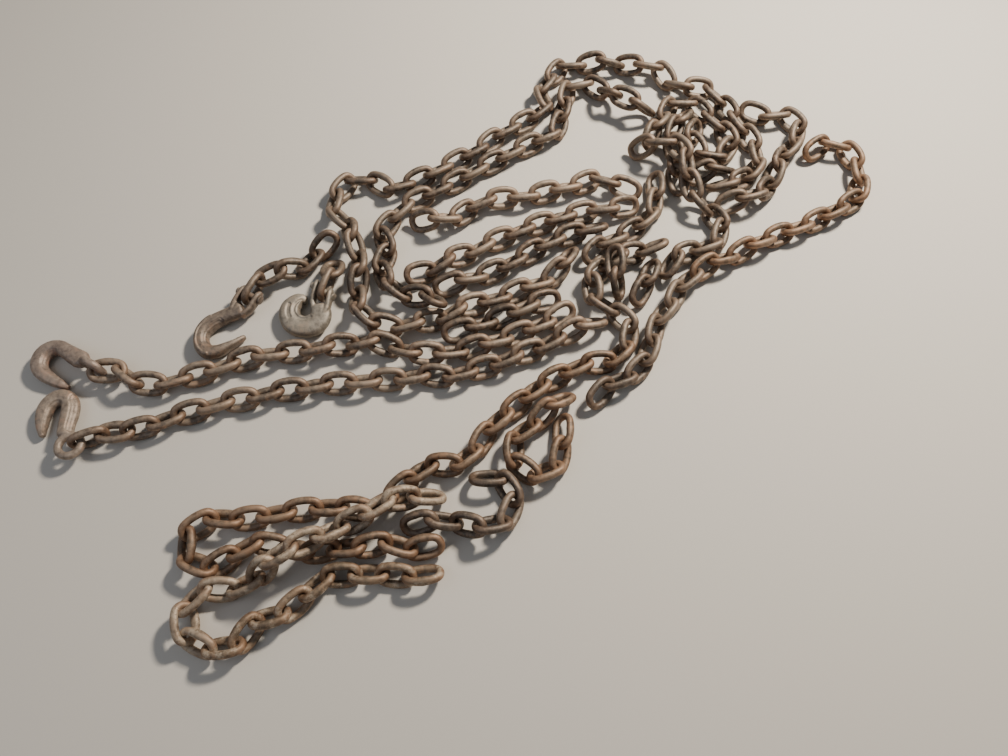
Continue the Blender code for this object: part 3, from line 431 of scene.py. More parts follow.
# Laying the chain
def smooth_route(places):
    """A curve through the places, as close points (Catmull-Rom)."""
    p = np.array(places, float)
    p = np.vstack([2 * p[0] - p[1], p, 2 * p[-1] - p[-2]])
    out = []
    for i in range(1, len(p) - 2):
        for k in range(CURVE_STEPS):
            t = k / CURVE_STEPS
            a, b, c, d = p[i - 1], p[i], p[i + 1], p[i + 2]
            out.append(
                0.5 * (2 * b + (c - a) * t + (2 * a - 5 * b + 4 * c - d) * t * t
                       + (3 * b - a - 3 * c + d) * t * t * t)
            )
    out.append(p[-2])
    return np.array(out)


def walk(points, stretch_at):
    """Joints one pitch apart along the points, and the stretch that each link belongs to."""
    joints, names = [points[0]], []
    here, i = points[0], 0
    while True:
        while i + 1 < len(points) and math.dist(points[i + 1], here) < INSIDE_LENGTH:
            i += 1
        if i + 1 >= len(points):
            return np.array(joints), names
        a, b = points[i], points[i + 1]
        low, high = 0.0, 1.0
        for _ in range(40):
            mid = (low + high) / 2
            if math.dist(a + (b - a) * mid, here) < INSIDE_LENGTH:
                low = mid
            else:
                high = mid
        names.append(stretch_at[i])
        here = a + (b - a) * high
        joints.append(here)


def route_joints(chain):
    """The joints of a chain along its route, and the stretch that each link belongs to."""
    places = [(x, y, level * LEVEL_HEIGHT) for _, stretch in chain for x, y, level in stretch]
    curve = smooth_route(places)
    owner = [name for name, stretch in chain for _ in stretch]
    stretch_at = [owner[min(i // CURVE_STEPS, len(owner) - 1)] for i in range(len(curve))]
    return walk(curve, stretch_at)


def link_outline(left, right):
    """The eight corners of a link's middle line: along the chain from the link's middle, and across.

    left and right are how far its crowns reach past the joints.
    """
    w = HALF_WIDTH
    a, b = INSIDE_LENGTH / 2 + left, INSIDE_LENGTH / 2 + right
    return [(b, -0.5 * w), (b, 0.5 * w), (b - 0.62 * w, w), (-a + 0.62 * w, w),
            (-a, 0.5 * w), (-a, -0.5 * w), (-a + 0.62 * w, -w), (b - 0.62 * w, -w)]


def frames(start, end, lean):
    """Middle, direction along, and direction across, of links between their two joints."""
    along = end - start
    along = along / np.sqrt((along * along).sum(-1, keepdims=True))
    side = np.stack([-along[:, 1], along[:, 0], np.zeros(len(along))], -1)
    side = side / np.sqrt((side * side).sum(-1, keepdims=True))
    up = np.cross(along, side)
    across = side * np.cos(lean)[:, None] + up * np.sin(lean)[:, None]
    return (start + end) / 2, along, across


def closest(p1, q1, p2, q2):
    """Closest points of two sets of line pieces, as shares along them."""
    d1, d2, r = q1 - p1, q2 - p2, p1 - p2
    a, e = (d1 * d1).sum(-1), (d2 * d2).sum(-1)
    f, c, b = (d2 * r).sum(-1), (d1 * r).sum(-1), (d1 * d2).sum(-1)
    denom = np.maximum(a * e - b * b, 1e-9)
    s = np.clip((b * f - c * e) / denom, 0, 1)
    t = (b * s + f) / e
    t_in = np.clip(t, 0, 1)
    s = np.where(t != t_in, np.clip((b * t_in - c) / a, 0, 1), s)
    return s, t_in


def near_pairs(middles):
    """Links that could touch."""
    found = []
    for i in range(len(middles)):
        d = middles[i + 1:] - middles[i]
        found += [(i, i + 1 + int(j)) for j in np.nonzero((d * d).sum(-1) < TOUCH_RANGE ** 2)[0]]
    return np.array(found, int)


def ears_of(hook, pin):
    """The two ears of a clevis: paths from the hook's wide end past the pin."""
    (px, py, pz), (ax, ay, _) = pin
    bx, by, bz = hook[0][:3]
    length = math.dist((px, py, pz), (bx, by, bz))
    dx, dy, dz = (px - bx) / length, (py - by) / length, (pz - bz) / length
    out = []
    for sign in (-1, 1):
        sx, sy = sign * EAR_SPREAD * ax, sign * EAR_SPREAD * ay
        out.append([
            (bx + sx * 0.7 - dx * 7, by + sy * 0.7 - dy * 7, bz - dz * 7, EAR_HALF, 6.5),
            (bx + sx + dx * 3, by + sy + dy * 3, bz + dz * 3, EAR_HALF, 7.5),
            (px + sx, py + sy, pz, EAR_HALF, 8.5),
            (px + sx + dx * 5, py + sy + dy * 5, pz + dz * 5, EAR_HALF, 7.6),
            (px + sx + dx * EAR_REACH, py + sy + dy * EAR_REACH, pz + dz * EAR_REACH, EAR_HALF * 0.8, 5.0),
        ])
    return out


def pin_ends(pin, reach):
    """Both ends of a pin, this far from its middle."""
    (px, py, pz), (ax, ay, az) = pin
    return [(px + ax * way, py + ay * way, pz + az * way) for way in (-reach, reach)]


def hook_lines():
    """The hooks as line pieces with a thickness, for the chain to lie against."""
    lines = []
    for _, path, eye, pin in HOOKS:
        for p, q in zip(path[:-1], path[1:]):
            lines.append((p[:3], q[:3], (max(p[3], q[3]) + max(p[4], q[4])) / 2))
        if pin:
            for ear in ears_of(path, pin):
                for p, q in zip(ear[1:-1], ear[2:]):
                    lines.append((p[:3], q[:3], EAR_HALF))
            lines.append((*pin_ends(pin, PIN_REACH), PIN_RADIUS))
            continue
        centre, axis, radius, bar = eye
        u, v = ring_axes(axis)
        corners = []
        for i in range(12):
            angle = 2 * math.pi * i / 12
            corners.append(tuple(
                centre[k] + radius * (u[k] * math.cos(angle) + v[k] * math.sin(angle)) for k in range(3)
            ))
        for i in range(12):
            lines.append((corners[i], corners[(i + 1) % 12], bar))
    return lines


def ring_axes(axis):
    """Two directions across an axis."""
    axis = Vector(axis).normalized()
    u = axis.orthogonal().normalized()
    return u, axis.cross(u)


def leans(names):
    """How far each link of a chain leans."""
    lean = np.where(np.arange(len(names)) % 2 == 0, ROLL, -ROLL)
    first = FIRST_LEANS.get(names[0], ())
    lean[:len(first)] = np.radians(first)[:len(names)]
    return lean


def lengths_of(names):
    """The first and last link of each length of chain, each length within one stretch."""
    found, start, n = [], 0, len(names)
    while start < n:
        end = start
        while end < n and names[end] == names[start]:
            end += 1
        pieces = max(1, round((end - start) / RUN_LINKS))
        cuts = [start + (end - start) * piece // pieces for piece in range(pieces + 1)]
        found += list(zip(cuts[:-1], cuts[1:]))
        start = end
    return found


def solid_outlines(chains):
    """The outlines of all links as their solids have them."""
    crowns = (CROWN_FUSED, CROWN_OPEN)
    return np.array([
        link_outline(crowns[i == first], crowns[i == last - 1])
        for _, names in chains for first, last in lengths_of(names) for i in range(first, last)
    ])


def lay(chains, joints, outlines, half_bar, lay_gap, hook_gap, joined_gap, hung_gap, steps, sink, pull,
        floor=0.0):
    """Lets the chains sink until they rest, and returns where their joints come to lie.

    half_bar is half the bar's thickness. lay_gap stays between links that touch, and hook_gap between a
    link and a hook. joined_gap and hung_gap are how near the middle lines of neighbours may come, within a
    solid and between two. sink is the depth of a step, and pull how strongly the links keep to their route.
    """
    start, chain_of, order, held = [], [], [], []
    offset = 0
    for c, (points, names) in enumerate(chains):
        n = len(points) - 1
        start += list(range(offset, offset + n))
        chain_of += [c] * n
        order += list(range(n))
        if names[0] in FIRST_LEANS:
            held.append(offset)
        offset += len(points)
    P = np.vstack(joints)
    home = P.copy()
    A = np.array(start)
    B = A + 1
    order = np.array(order)
    lean = np.concatenate([leans(names) for _, names in chains])
    length_of = np.array([
        k for c, (_, names) in enumerate(chains)
        for k, (first, last) in enumerate(lengths_of(names)) for _ in range(first, last)
    ])
    chain_of = np.array(chain_of)
    lines = hook_lines()
    H1, H2 = np.array([p for p, _, _ in lines], float), np.array([q for _, q, _ in lines], float)
    thick = np.array([r for _, _, r in lines])
    inner = np.array([a for a in A if a in set(B.tolist())])  # joints that have a link on both sides
    pairs = None
    for step in range(steps):
        if step < steps - LAST_STEPS:
            P[:, 2] -= sink
            P[:, :2] += pull * (home[:, :2] - P[:, :2])
        middle, along, across = frames(P[A], P[B], lean)
        if pairs is None or step % 6 == 0:
            pairs = near_pairs(middle)
            I, J = pairs[:, 0], pairs[:, 1]
            beside = (chain_of[I] == chain_of[J]) & (np.abs(order[I] - order[J]) == 1)
            joined = beside & (length_of[I] == length_of[J])
            wanted = np.where(beside, hung_gap, 2 * half_bar + lay_gap)
            wanted[joined] = joined_gap
        V = middle[:, None] + outlines[:, :, :1] * along[:, None] + outlines[:, :, 1:] * across[:, None]
        W = np.roll(V, -1, axis=1)
        s, t = closest(V[I][:, :, None], W[I][:, :, None], V[J][:, None], W[J][:, None])
        one = V[I][:, :, None] + s[..., None] * (W[I] - V[I])[:, :, None]
        two = V[J][:, None] + t[..., None] * (W[J] - V[J])[:, None]
        away = one - two
        apart = np.sqrt((away * away).sum(-1)).reshape(len(I), -1)
        worst = apart.argmin(1)
        k = np.arange(len(I))
        gap = apart[k, worst]
        hit = gap < wanted - 1e-3
        moved = np.zeros_like(P)
        weight = np.zeros(len(P))
        bent = np.nonzero(hit & beside)[0]
        if len(bent):
            # neighbours that bite in a bend are straightened
            a, b = A[I[bent]], B[J[bent]]
            n = P[b] - P[a]
            n = n / np.sqrt((n * n).sum(-1, keepdims=True)) * (wanted - gap)[bent][:, None]
            np.add.at(moved, a, -n)
            np.add.at(moved, b, n)
            np.add.at(weight, a, 1)
            np.add.at(weight, b, 1)
        hit &= ~beside
        if hit.any():
            k, worst, short = k[hit], worst[hit], (wanted - gap)[hit]
            gap = gap[hit]
            n = away.reshape(len(I), -1, 3)[k, worst] / np.maximum(gap, 1e-6)[:, None]
            for points, index, sign in ((one, I[hit], 1.0), (two, J[hit], -1.0)):
                at = points.reshape(len(I), -1, 3)[k, worst]
                share = ((at - P[A[index]]) * along[index]).sum(-1) / INSIDE_LENGTH
                share = np.clip(share, 0, 1)
                push = 0.5 * short / (share ** 2 + (1 - share) ** 2)
                for joint, part in ((A[index], 1 - share), (B[index], share)):
                    np.add.at(moved, joint, sign * n * (push * part)[:, None])
                    np.add.at(weight, joint, part > 0.1)
        # links against the hooks, which stay where they are
        close = middle[:, None] - (H1 + H2)[None] / 2
        K, M = np.nonzero((close * close).sum(-1) < TOUCH_RANGE ** 2)
        s, t = closest(V[K], W[K], H1[M][:, None], H2[M][:, None])
        one = V[K] + s[..., None] * (W[K] - V[K])
        away = one - (H1[M][:, None] + t[..., None] * (H2 - H1)[M][:, None])
        apart = np.sqrt((away * away).sum(-1))
        worst = apart.argmin(1)
        k = np.arange(len(K))
        need = half_bar + thick[M] + hook_gap
        short = need - apart[k, worst]
        k = k[short > 0]
        if len(k):
            n = away[k, worst[k]] / np.maximum(apart[k, worst[k]], 1e-6)[:, None]
            share = np.clip(((one[k, worst[k]] - P[A[K[k]]]) * along[K[k]]).sum(-1) / INSIDE_LENGTH, 0, 1)
            push = short[k] / (share ** 2 + (1 - share) ** 2)
            for joint, part in ((A[K[k]], 1 - share), (B[K[k]], share)):
                np.add.at(moved, joint, n * (push * part)[:, None])
                np.add.at(weight, joint, part > 0.1)
        P += moved / np.maximum(weight, 1)[:, None] * PUSH_APART
        # the floor, and the length of a link, and how sharply a chain turns
        for _ in range(4):
            middle, along, across = frames(P[A], P[B], lean)
            V = middle[:, None] + outlines[:, :, :1] * along[:, None] + outlines[:, :, 1:] * across[:, None]
            low = V[:, :, 2].min(1)
            lift = np.maximum(floor + half_bar - low, 0)
            top = np.zeros(len(P))
            np.maximum.at(top, A, lift)
            np.maximum.at(top, B, lift)
            P[:, 2] += top
            for parity in (0, 1):
                pick = order % 2 == parity
                a, b = A[pick], B[pick]
                d = P[b] - P[a]
                length = np.sqrt((d * d).sum(-1, keepdims=True))
                fix = d * (0.5 * (length - INSIDE_LENGTH) / length)
                P[a] += fix
                P[b] -= fix
            for parity in (0, 1):
                mid = inner[parity::2]
                d = P[mid + 1] - P[mid - 1]
                length = np.sqrt((d * d).sum(-1, keepdims=True))
                fix = d * (0.5 * np.minimum(length - SHARPEST_TURN * INSIDE_LENGTH, 0) / length)
                P[mid - 1] += fix
                P[mid + 1] -= fix
            P[held] = home[held]
    ends = np.cumsum([len(points) for points, _ in chains])
    return np.split(P, ends[:-1])


# Modelling
def choose(piece, kind, test):
    """Goes into edit mode on the piece, with only the vertices or faces selected that pass the test."""
    bpy.context.view_layer.objects.active = piece
    bpy.ops.object.mode_set(mode="EDIT")
    bpy.ops.mesh.select_mode(type=kind)
    bpy.ops.mesh.select_all(action="DESELECT")
    bpy.ops.object.mode_set(mode="OBJECT")
    for element in piece.data.vertices if kind == "VERT" else piece.data.polygons:
        element.select = bool(test(element))
    bpy.ops.object.mode_set(mode="EDIT")


def to_object_mode():
    """Leaves edit mode."""
    bpy.ops.object.mode_set(mode="OBJECT")


def apply_modifier(piece, kind, **settings):
    """Puts a modifier on the piece and applies it."""
    modifier = piece.modifiers.new(kind.title(), kind)
    for name, value in settings.items():
        setattr(modifier, name, value)
    bpy.ops.object.select_all(action="DESELECT")
    bpy.context.view_layer.objects.active = piece
    piece.select_set(True)
    bpy.ops.object.modifier_apply(modifier=modifier.name)


def join_pieces(pieces, name):
    """Joins the pieces into the first and names it."""
    bpy.ops.object.select_all(action="DESELECT")
    for piece in pieces:
        piece.select_set(True)
    bpy.context.view_layer.objects.active = pieces[0]
    if len(pieces) > 1:
        bpy.ops.object.join()
    pieces[0].name = name
    pieces[0].data.name = name
    return pieces[0]


def bend_link(name, weld_swell, weld_step):
    """One link: a ring of bar drawn out to its length, with the weld on one of its long sides.

    The ring has few faces, and the subdivision that finishes the chain rounds and tightens it, so it starts
    a little too large.
    """
    bpy.ops.object.select_all(action="DESELECT")
    bpy.ops.mesh.primitive_torus_add(
        major_segments=12, minor_segments=6,
        major_radius=HALF_WIDTH / RING_SHRINK * MM, minor_radius=BAR / 2 / BAR_SHRINK * MM,
    )
    link = bpy.context.object
    link.name = name
    straight = (INSIDE_LENGTH + BAR) / 2 - HALF_WIDTH
    for side in (1, -1):
        choose(link, "VERT", lambda vert: vert.co.x * side > 1 * MM)
        bpy.ops.transform.translate(value=(side * straight * MM, 0, 0))
    # the weld stands a little proud of the bar, between two cuts across it that keep the swelling short
    for place in (-WELD_WIDTH, WELD_WIDTH):
        choose(link, "FACE", lambda face: face.center.y > 0 and abs(face.center.x) < straight * MM)
        bpy.ops.mesh.bisect(plane_co=(place * MM, 0, 0), plane_no=(1, 0, 0))
    middle = (0, HALF_WIDTH / RING_SHRINK * MM, 0)
    choose(link, "VERT", lambda vert: vert.co.y > 0 and abs(vert.co.x) < 0.1 * MM)
    bpy.ops.transform.resize(value=(1, weld_swell, weld_swell), center_override=middle)
    bpy.ops.transform.translate(value=(0, 0, weld_step * MM))
    to_object_mode()
    # how near each point is to the crowns, where the neighbours rub
    crown = link.data.attributes.new("crown", "FLOAT", "POINT")
    crown.data.foreach_set("value", [
        min(max((abs(vert.co.x) / MM - straight) / HALF_WIDTH, 0), 1) for vert in link.data.vertices
    ])
    return link


def lay_link(pattern, middle, along, across, tone):
    """A copy of the link pattern where a link lies, with the shade of rust that is its own."""
    link = pattern.copy()
    link.data = pattern.data.copy()
    bpy.context.scene.collection.objects.link(link)
    normal = np.cross(along, across)
    place = Matrix.Identity(4)
    for column, axis in enumerate((along, across, normal)):
        for row in range(3):
            place[row][column] = axis[row]
    for row in range(3):
        place[row][3] = middle[row] * MM
    link.data.transform(place)
    shade = link.data.attributes.new("link_tone", "FLOAT", "POINT")
    shade.data.foreach_set("value", [tone] * len(link.data.vertices))
    return link


# The hooks
def along_line(path):
    """The smooth line through a forging's places, how far along it each point lies, and its stations.

    A station is a distance along, a half breadth and a half thickness.
    """
    line = smooth_route(path)
    steps = np.sqrt((np.diff(line[:, :3], axis=0) ** 2).sum(1))
    far = np.concatenate([[0.0], np.cumsum(steps)])
    stations = [(far[i], line[i][3], line[i][4]) for i in range(0, len(line), CURVE_STEPS // 4)]
    return line[:, :3], far, stations


def forge_bar(name, stations):
    """A straight forging along X: a round blank drawn out from station to station, with rounded ends."""
    first, last = stations[0], stations[-1]
    stations = (
        [(first[0] - first[2] * out, first[1] * share, first[2] * share) for out, share in END_ROUNDING]
        + list(stations)
        + [(last[0] + last[2] * out, last[1] * share, last[2] * share) for out, share in END_ROUNDING[::-1]]
    )
    x, breadth, depth = stations[0]
    bpy.ops.object.select_all(action="DESELECT")
    bpy.ops.mesh.primitive_circle_add(
        vertices=16, radius=MM, fill_type="NGON", location=(x * MM, 0, 0), rotation=(0, math.pi / 2, 0),
    )
    bpy.ops.object.transform_apply(location=True, rotation=True, scale=True)
    bar = bpy.context.object
    bar.name = name
    choose(bar, "VERT", lambda vert: abs(vert.co.y) > 0.5 * MM and abs(vert.co.z) > 0.5 * MM)
    bpy.ops.transform.resize(value=(1, FORGED_CORNERS, FORGED_CORNERS), center_override=(x * MM, 0, 0))
    bpy.ops.mesh.select_all(action="SELECT")
    bpy.ops.transform.resize(value=(1, breadth, depth), center_override=(x * MM, 0, 0))
    for (x, breadth, depth), (next_x, next_breadth, next_depth) in zip(stations[:-1], stations[1:]):
        bpy.ops.mesh.extrude_region_move(TRANSFORM_OT_translate={"value": ((next_x - x) * MM, 0, 0)})
        bpy.ops.transform.resize(
            value=(1, next_breadth / breadth, next_depth / depth), center_override=(next_x * MM, 0, 0),
        )
    bpy.ops.mesh.select_all(action="SELECT")
    bpy.ops.mesh.normals_make_consistent(inside=False)
    to_object_mode()
    return bar


def bend_along(bar, line, shift):
    """Bends a straight forging along a line, with the same side up all the way."""
    curve = bpy.data.curves.new("bending_line", "CURVE")
    curve.dimensions = "3D"
    curve.twist_mode = "Z_UP"
    spline = curve.splines.new("POLY")
    spline.points.add(len(line) - 1)
    for point, place in zip(spline.points, (line + shift) * MM):
        point.co = (*place, 1.0)
    former = bpy.data.objects.new("bending_line", curve)
    bpy.context.scene.collection.objects.link(former)
    apply_modifier(bar, "CURVE", object=former, deform_axis="POS_X")
    bpy.data.objects.remove(former)


def shape_face(bar, far, stations, reach, band, rise):
    """Raises or sinks a strip of the forging's upper face, with round ends.

    reach is from which place of the path to which, and band from which share of the half breadth to which.
    """
    at, breadths = [s[0] for s in stations], [s[1] for s in stations]
    start, end = (np.interp(i * CURVE_STEPS, range(len(far)), far) for i in reach)
    middle, half = (band[0] + band[1]) / 2, (band[1] - band[0]) / 2

    def on_strip(vert):
        if vert.co.z <= 0:
            return False
        x = vert.co.x / MM
        breadth = np.interp(x, at, breadths)
        over = max(start + half * breadth - x, x - (end - half * breadth), 0) / (half * breadth)
        aside = abs(vert.co.y / MM / breadth - middle) / half
        return over * over + aside * aside < 1

    choose(bar, "VERT", on_strip)
    bpy.ops.transform.translate(value=(0, 0, rise * MM))
    to_object_mode()


def forge_hook(name, path, eye, pin, strips, shift):
    """One hook: drawn out straight, its face dressed, bent, and its eye or ears welded on."""
    line, far, stations = along_line(path)
    bar = forge_bar(name, stations)
    apply_modifier(bar, "SUBSURF", levels=2)
    for strip in strips:
        shape_face(bar, far, stations, *strip)
    bend_along(bar, line, shift)
    pieces = [bar]
    if eye:
        centre, axis, radius, thick = eye
        bpy.ops.object.select_all(action="DESELECT")
        bpy.ops.mesh.primitive_torus_add(
            major_segments=48, minor_segments=16, major_radius=radius * MM, minor_radius=thick * MM,
            location=(np.array(centre) + shift) * MM,
            rotation=Vector(axis).to_track_quat("Z", "Y").to_euler(),
        )
        bpy.ops.object.transform_apply(location=True, rotation=True, scale=True)
        pieces.append(bpy.context.object)
    if pin:
        for ear_path in ears_of(path, pin):
            ear_line, _, ear_stations = along_line(ear_path)
            ear = forge_bar(f"{name}_ear", ear_stations)
            bend_along(ear, ear_line, shift)
            pieces.append(ear)
    hook = join_pieces(pieces, name)
    apply_modifier(hook, "REMESH", mode="VOXEL", voxel_size=SKIN_STEP * MM)
    apply_modifier(hook, "SMOOTH", factor=0.5, iterations=2)
    dents = bpy.data.textures.new(f"{name}_dents", "CLOUDS")
    dents.noise_scale = DENT_SIZE * MM
    dents.noise_depth = 2
    apply_modifier(hook, "DISPLACE", texture=dents, texture_coords="LOCAL", strength=FORGING_UNEVEN * MM)
    if pin:
        drill_ears(hook, pin, shift)
    hook.data.shade_smooth()
    return hook


def turned_bar(name, pin, radius, reach, shift):
    """A round bar along a pin's middle line."""
    start, end = (np.array(end) + shift for end in pin_ends(pin, reach))
    bpy.ops.object.select_all(action="DESELECT")
    bpy.ops.mesh.primitive_cylinder_add(
        vertices=32, radius=radius * MM, depth=2 * reach * MM, location=(start + end) / 2 * MM,
        rotation=Vector(pin[1]).to_track_quat("Z", "Y").to_euler(),
    )
    bpy.ops.object.transform_apply(location=True, rotation=True, scale=True)
    bar = bpy.context.object
    bar.name = name
    return bar


def drill_ears(hook, pin, shift):
    """Cuts the pin's hole through both ears."""
    drill = turned_bar("drill", pin, PIN_RADIUS + PIN_CLEARANCE, 2 * PIN_REACH, shift)
    apply_modifier(hook, "BOOLEAN", operation="DIFFERENCE", object=drill, solver="EXACT")
    bpy.data.objects.remove(drill)


def turn_pin(name, pin, shift):
    """A clevis pin: its head riveted over at one end, the other end chamfered."""
    reach = EAR_SPREAD + EAR_HALF + PIN_END
    made = turned_bar(name, pin, PIN_RADIUS, reach, shift)
    way = Vector(pin[1]).normalized()
    middle = (Vector(pin[0]) + Vector(shift)) * MM
    for side, swollen in ((1, True), (-1, False)):
        choose(made, "FACE", lambda face: (
            len(face.vertices) > 4 and (face.center - middle).dot(way) * side > 0
        ))
        out = way * side * MM
        end = middle + reach * out
        if swollen:
            # the end is pushed back to the ear, swollen, and brought out again as a low dome
            neck = end - (PIN_END - PIN_HEAD_NECK) * out
            bpy.ops.transform.translate(value=neck - end)
            bpy.ops.mesh.extrude_region_move(TRANSFORM_OT_translate={"value": (0, 0, 0)})
            bpy.ops.transform.resize(value=[PIN_HEAD_SWELL] * 3, center_override=neck)
            bpy.ops.mesh.extrude_region_move(TRANSFORM_OT_translate={"value": PIN_HEAD_EDGE * out})
            bpy.ops.mesh.extrude_region_move(TRANSFORM_OT_translate={"value": PIN_HEAD_DOME * out})
            top = neck + (PIN_HEAD_EDGE + PIN_HEAD_DOME) * out
            bpy.ops.transform.resize(value=[PIN_DOME_SHRINK] * 3, center_override=top)
        else:
            bpy.ops.mesh.extrude_region_move(TRANSFORM_OT_translate={"value": PIN_CHAMFER * out})
            end = end + PIN_CHAMFER * out
            bpy.ops.transform.resize(value=[PIN_CHAMFER_SHRINK] * 3, center_override=end)
        to_object_mode()
    bpy.ops.object.select_all(action="DESELECT")
    made.select_set(True)
    bpy.context.view_layer.objects.active = made
    bpy.ops.object.shade_smooth_by_angle(angle=SMOOTH_UNDER)
    return made


def dress_hooks(shift):
    """The four hooks and their two pins, each in place of its solid."""
    for name, path, eye, pin in HOOKS:
        steel = rusted_steel(**HOOK_FINISHES[name])
        made = [(forge_hook(f"{name}_forging", path, eye, pin, HOOK_STRIPS[name], shift), name)]
        if pin:
            made.append((turn_pin(f"{name}_clevis_pin", pin, shift), f"{name}_pin"))
        for piece, node in made:
            piece.data.materials.clear()
            piece.data.materials.append(steel)
            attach(piece, "root")
            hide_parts(node)


# Materials
def hex_colour(code):
    """An sRGB hex colour as the linear values that a shader takes."""
    parts = [int(code[i:i + 2], 16) / 255 for i in (1, 3, 5)]
    return tuple(c / 12.92 if c <= 0.04045 else ((c + 0.055) / 1.055) ** 2.4 for c in parts) + (1.0,)


def add_node(tree, kind, inputs, **settings):
    """Adds a node with its settings; inputs gives each socket a value, or the output that feeds it."""
    made = tree.nodes.new(kind)
    for name, value in settings.items():
        setattr(made, name, value)
    for socket, value in inputs.items():
        if isinstance(value, bpy.types.NodeSocket):
            tree.links.new(value, made.inputs[socket])
        else:
            made.inputs[socket].default_value = value
    return made


def per_mm(size):
    """The scale of a pattern whose features are this many millimetres apart."""
    return 1 / (size * MM)


def rusted_steel(name, dark, light, rust, dust_and_top_light_colour, dust_and_top_light_amount, mud=0.0):
    """Steel that has rusted in the open and been handled since: a satin brown skin of oxide, dark to light.

    Fresh orange rust shows in patches, and in a link's crowns where its neighbour rubs. What faces up is
    paled, partly by dust and partly by painted light on the tops. Dried mud may cover all that in a pale
    crust, with dark specks where bits of it came off.
    """
    made = bpy.data.materials.new(name)
    made.use_nodes = True
    tree = made.node_tree
    shader = tree.nodes["Principled BSDF"]
    place = add_node(tree, "ShaderNodeTexCoord", {}).outputs["Object"]
    tone = add_node(tree, "ShaderNodeAttribute", {}, attribute_name="link_tone").outputs["Fac"]
    crown = add_node(tree, "ShaderNodeAttribute", {}, attribute_name="crown").outputs["Fac"]
    patches = add_node(tree, "ShaderNodeTexNoise",
                       {"Vector": place, "Scale": per_mm(RUST_PATCHES), "Detail": 3.0})
    mottle = add_node(tree, "ShaderNodeTexNoise",
                      {"Vector": place, "Scale": per_mm(OXIDE_MOTTLE), "Detail": 6.0, "Roughness": 0.6})
    pits = add_node(tree, "ShaderNodeTexNoise",
                    {"Vector": place, "Scale": per_mm(PITTING), "Detail": 4.0, "Roughness": 0.7})
    # from dark oxide to light oxide
    shade = add_node(tree, "ShaderNodeMath", {0: mottle.outputs["Fac"], 1: tone}, operation="ADD")
    shade = add_node(tree, "ShaderNodeMapRange",
                     {"Value": shade.outputs[0], "From Min": 0.34, "From Max": 0.64})
    oxide = add_node(tree, "ShaderNodeMix",
                     {"Factor": shade.outputs[0], 6: hex_colour(dark), 7: hex_colour(light)},
                     data_type="RGBA")
    # fresh rust in patches and in the crowns
    fresh = add_node(tree, "ShaderNodeMath",
                     {0: patches.outputs["Fac"], 1: mottle.outputs["Fac"]}, operation="MULTIPLY")
    fresh = add_node(tree, "ShaderNodeMapRange",
                     {"Value": fresh.outputs[0], "From Min": 0.27, "From Max": 0.4, "To Max": 0.75})
    rubbed = add_node(tree, "ShaderNodeMath", {0: crown, 1: mottle.outputs["Fac"]}, operation="MULTIPLY")
    fresh = add_node(tree, "ShaderNodeMath",
                     {0: fresh.outputs[0], 1: rubbed.outputs[0]}, operation="MAXIMUM")
    rusted = add_node(tree, "ShaderNodeMix",
                      {"Factor": fresh.outputs[0], 6: oxide.outputs[2], 7: hex_colour(rust)},
                      data_type="RGBA")
    # dust on what faces up, which is partly painted light on the tops: a pale colour mixed in by how far a
    # face points up
    up = add_node(tree, "ShaderNodeSeparateXYZ",
                  {0: add_node(tree, "ShaderNodeNewGeometry", {}).outputs["Normal"]}).outputs["Z"]
    dust_and_top_light_mask = add_node(tree, "ShaderNodeMapRange",
                       {"Value": up, "From Min": 0.1, "From Max": 1.0, "To Max": dust_and_top_light_amount})
    dust_and_top_light_mask = add_node(tree, "ShaderNodeMath",
                       {0: dust_and_top_light_mask.outputs[0], 1: mottle.outputs["Fac"]}, operation="MULTIPLY")
    colour = add_node(tree, "ShaderNodeMix",
                      {"Factor": dust_and_top_light_mask.outputs[0], 6: rusted.outputs[2], 7: hex_colour(dust_and_top_light_colour)},
                      data_type="RGBA")
    if mud:
        caked = add_node(tree, "ShaderNodeTexNoise",
                         {"Vector": place, "Scale": per_mm(MUD_CAKES), "Detail": 5.0, "Roughness": 0.65})
        cover = add_node(tree, "ShaderNodeMapRange",
                         {"Value": caked.outputs["Fac"], "From Min": 0.62 - mud / 4,
                          "From Max": 0.72 - mud / 4, "To Max": 0.9})
        specks = add_node(tree, "ShaderNodeTexNoise",
                          {"Vector": place, "Scale": per_mm(MUD_SPECKS), "Detail": 3.0, "Roughness": 0.7})
        whole = add_node(tree, "ShaderNodeMapRange",
                         {"Value": specks.outputs["Fac"], "From Min": 0.38, "From Max": 0.46})
        cover = add_node(tree, "ShaderNodeMath",
                         {0: cover.outputs[0], 1: whole.outputs[0]}, operation="MULTIPLY")
        colour = add_node(tree, "ShaderNodeMix",
                          {"Factor": cover.outputs[0], 6: colour.outputs[2], 7: hex_colour(DRIED_MUD)},
                          data_type="RGBA")
    tree.links.new(colour.outputs[2], shader.inputs["Base Color"])
    shine = add_node(tree, "ShaderNodeMapRange",
                     {"Value": dust_and_top_light_mask.outputs[0], "From Max": 0.4, "To Min": 0.38, "To Max": 0.64})
    tree.links.new(shine.outputs[0], shader.inputs["Roughness"])
    shader.inputs["Metallic"].default_value = 0.4
    relief = add_node(tree, "ShaderNodeMath",
                      {0: pits.outputs["Fac"], 1: mottle.outputs["Fac"]}, operation="ADD")
    bump = add_node(tree, "ShaderNodeBump",
                    {"Height": relief.outputs[0], "Strength": 0.5, "Distance": 0.45 * MM})
    tree.links.new(bump.outputs[0], shader.inputs["Normal"])
    return made


def matt_floor():
    """Matt pale board, one even colour, so that the chain's shadows read."""
    made = bpy.data.materials.new("pale_matt_board")
    made.use_nodes = True
    shader = made.node_tree.nodes["Principled BSDF"]
    shader.inputs["Base Color"].default_value = hex_colour("#cfc8bc")
    shader.inputs["Roughness"].default_value = 0.9
    return made


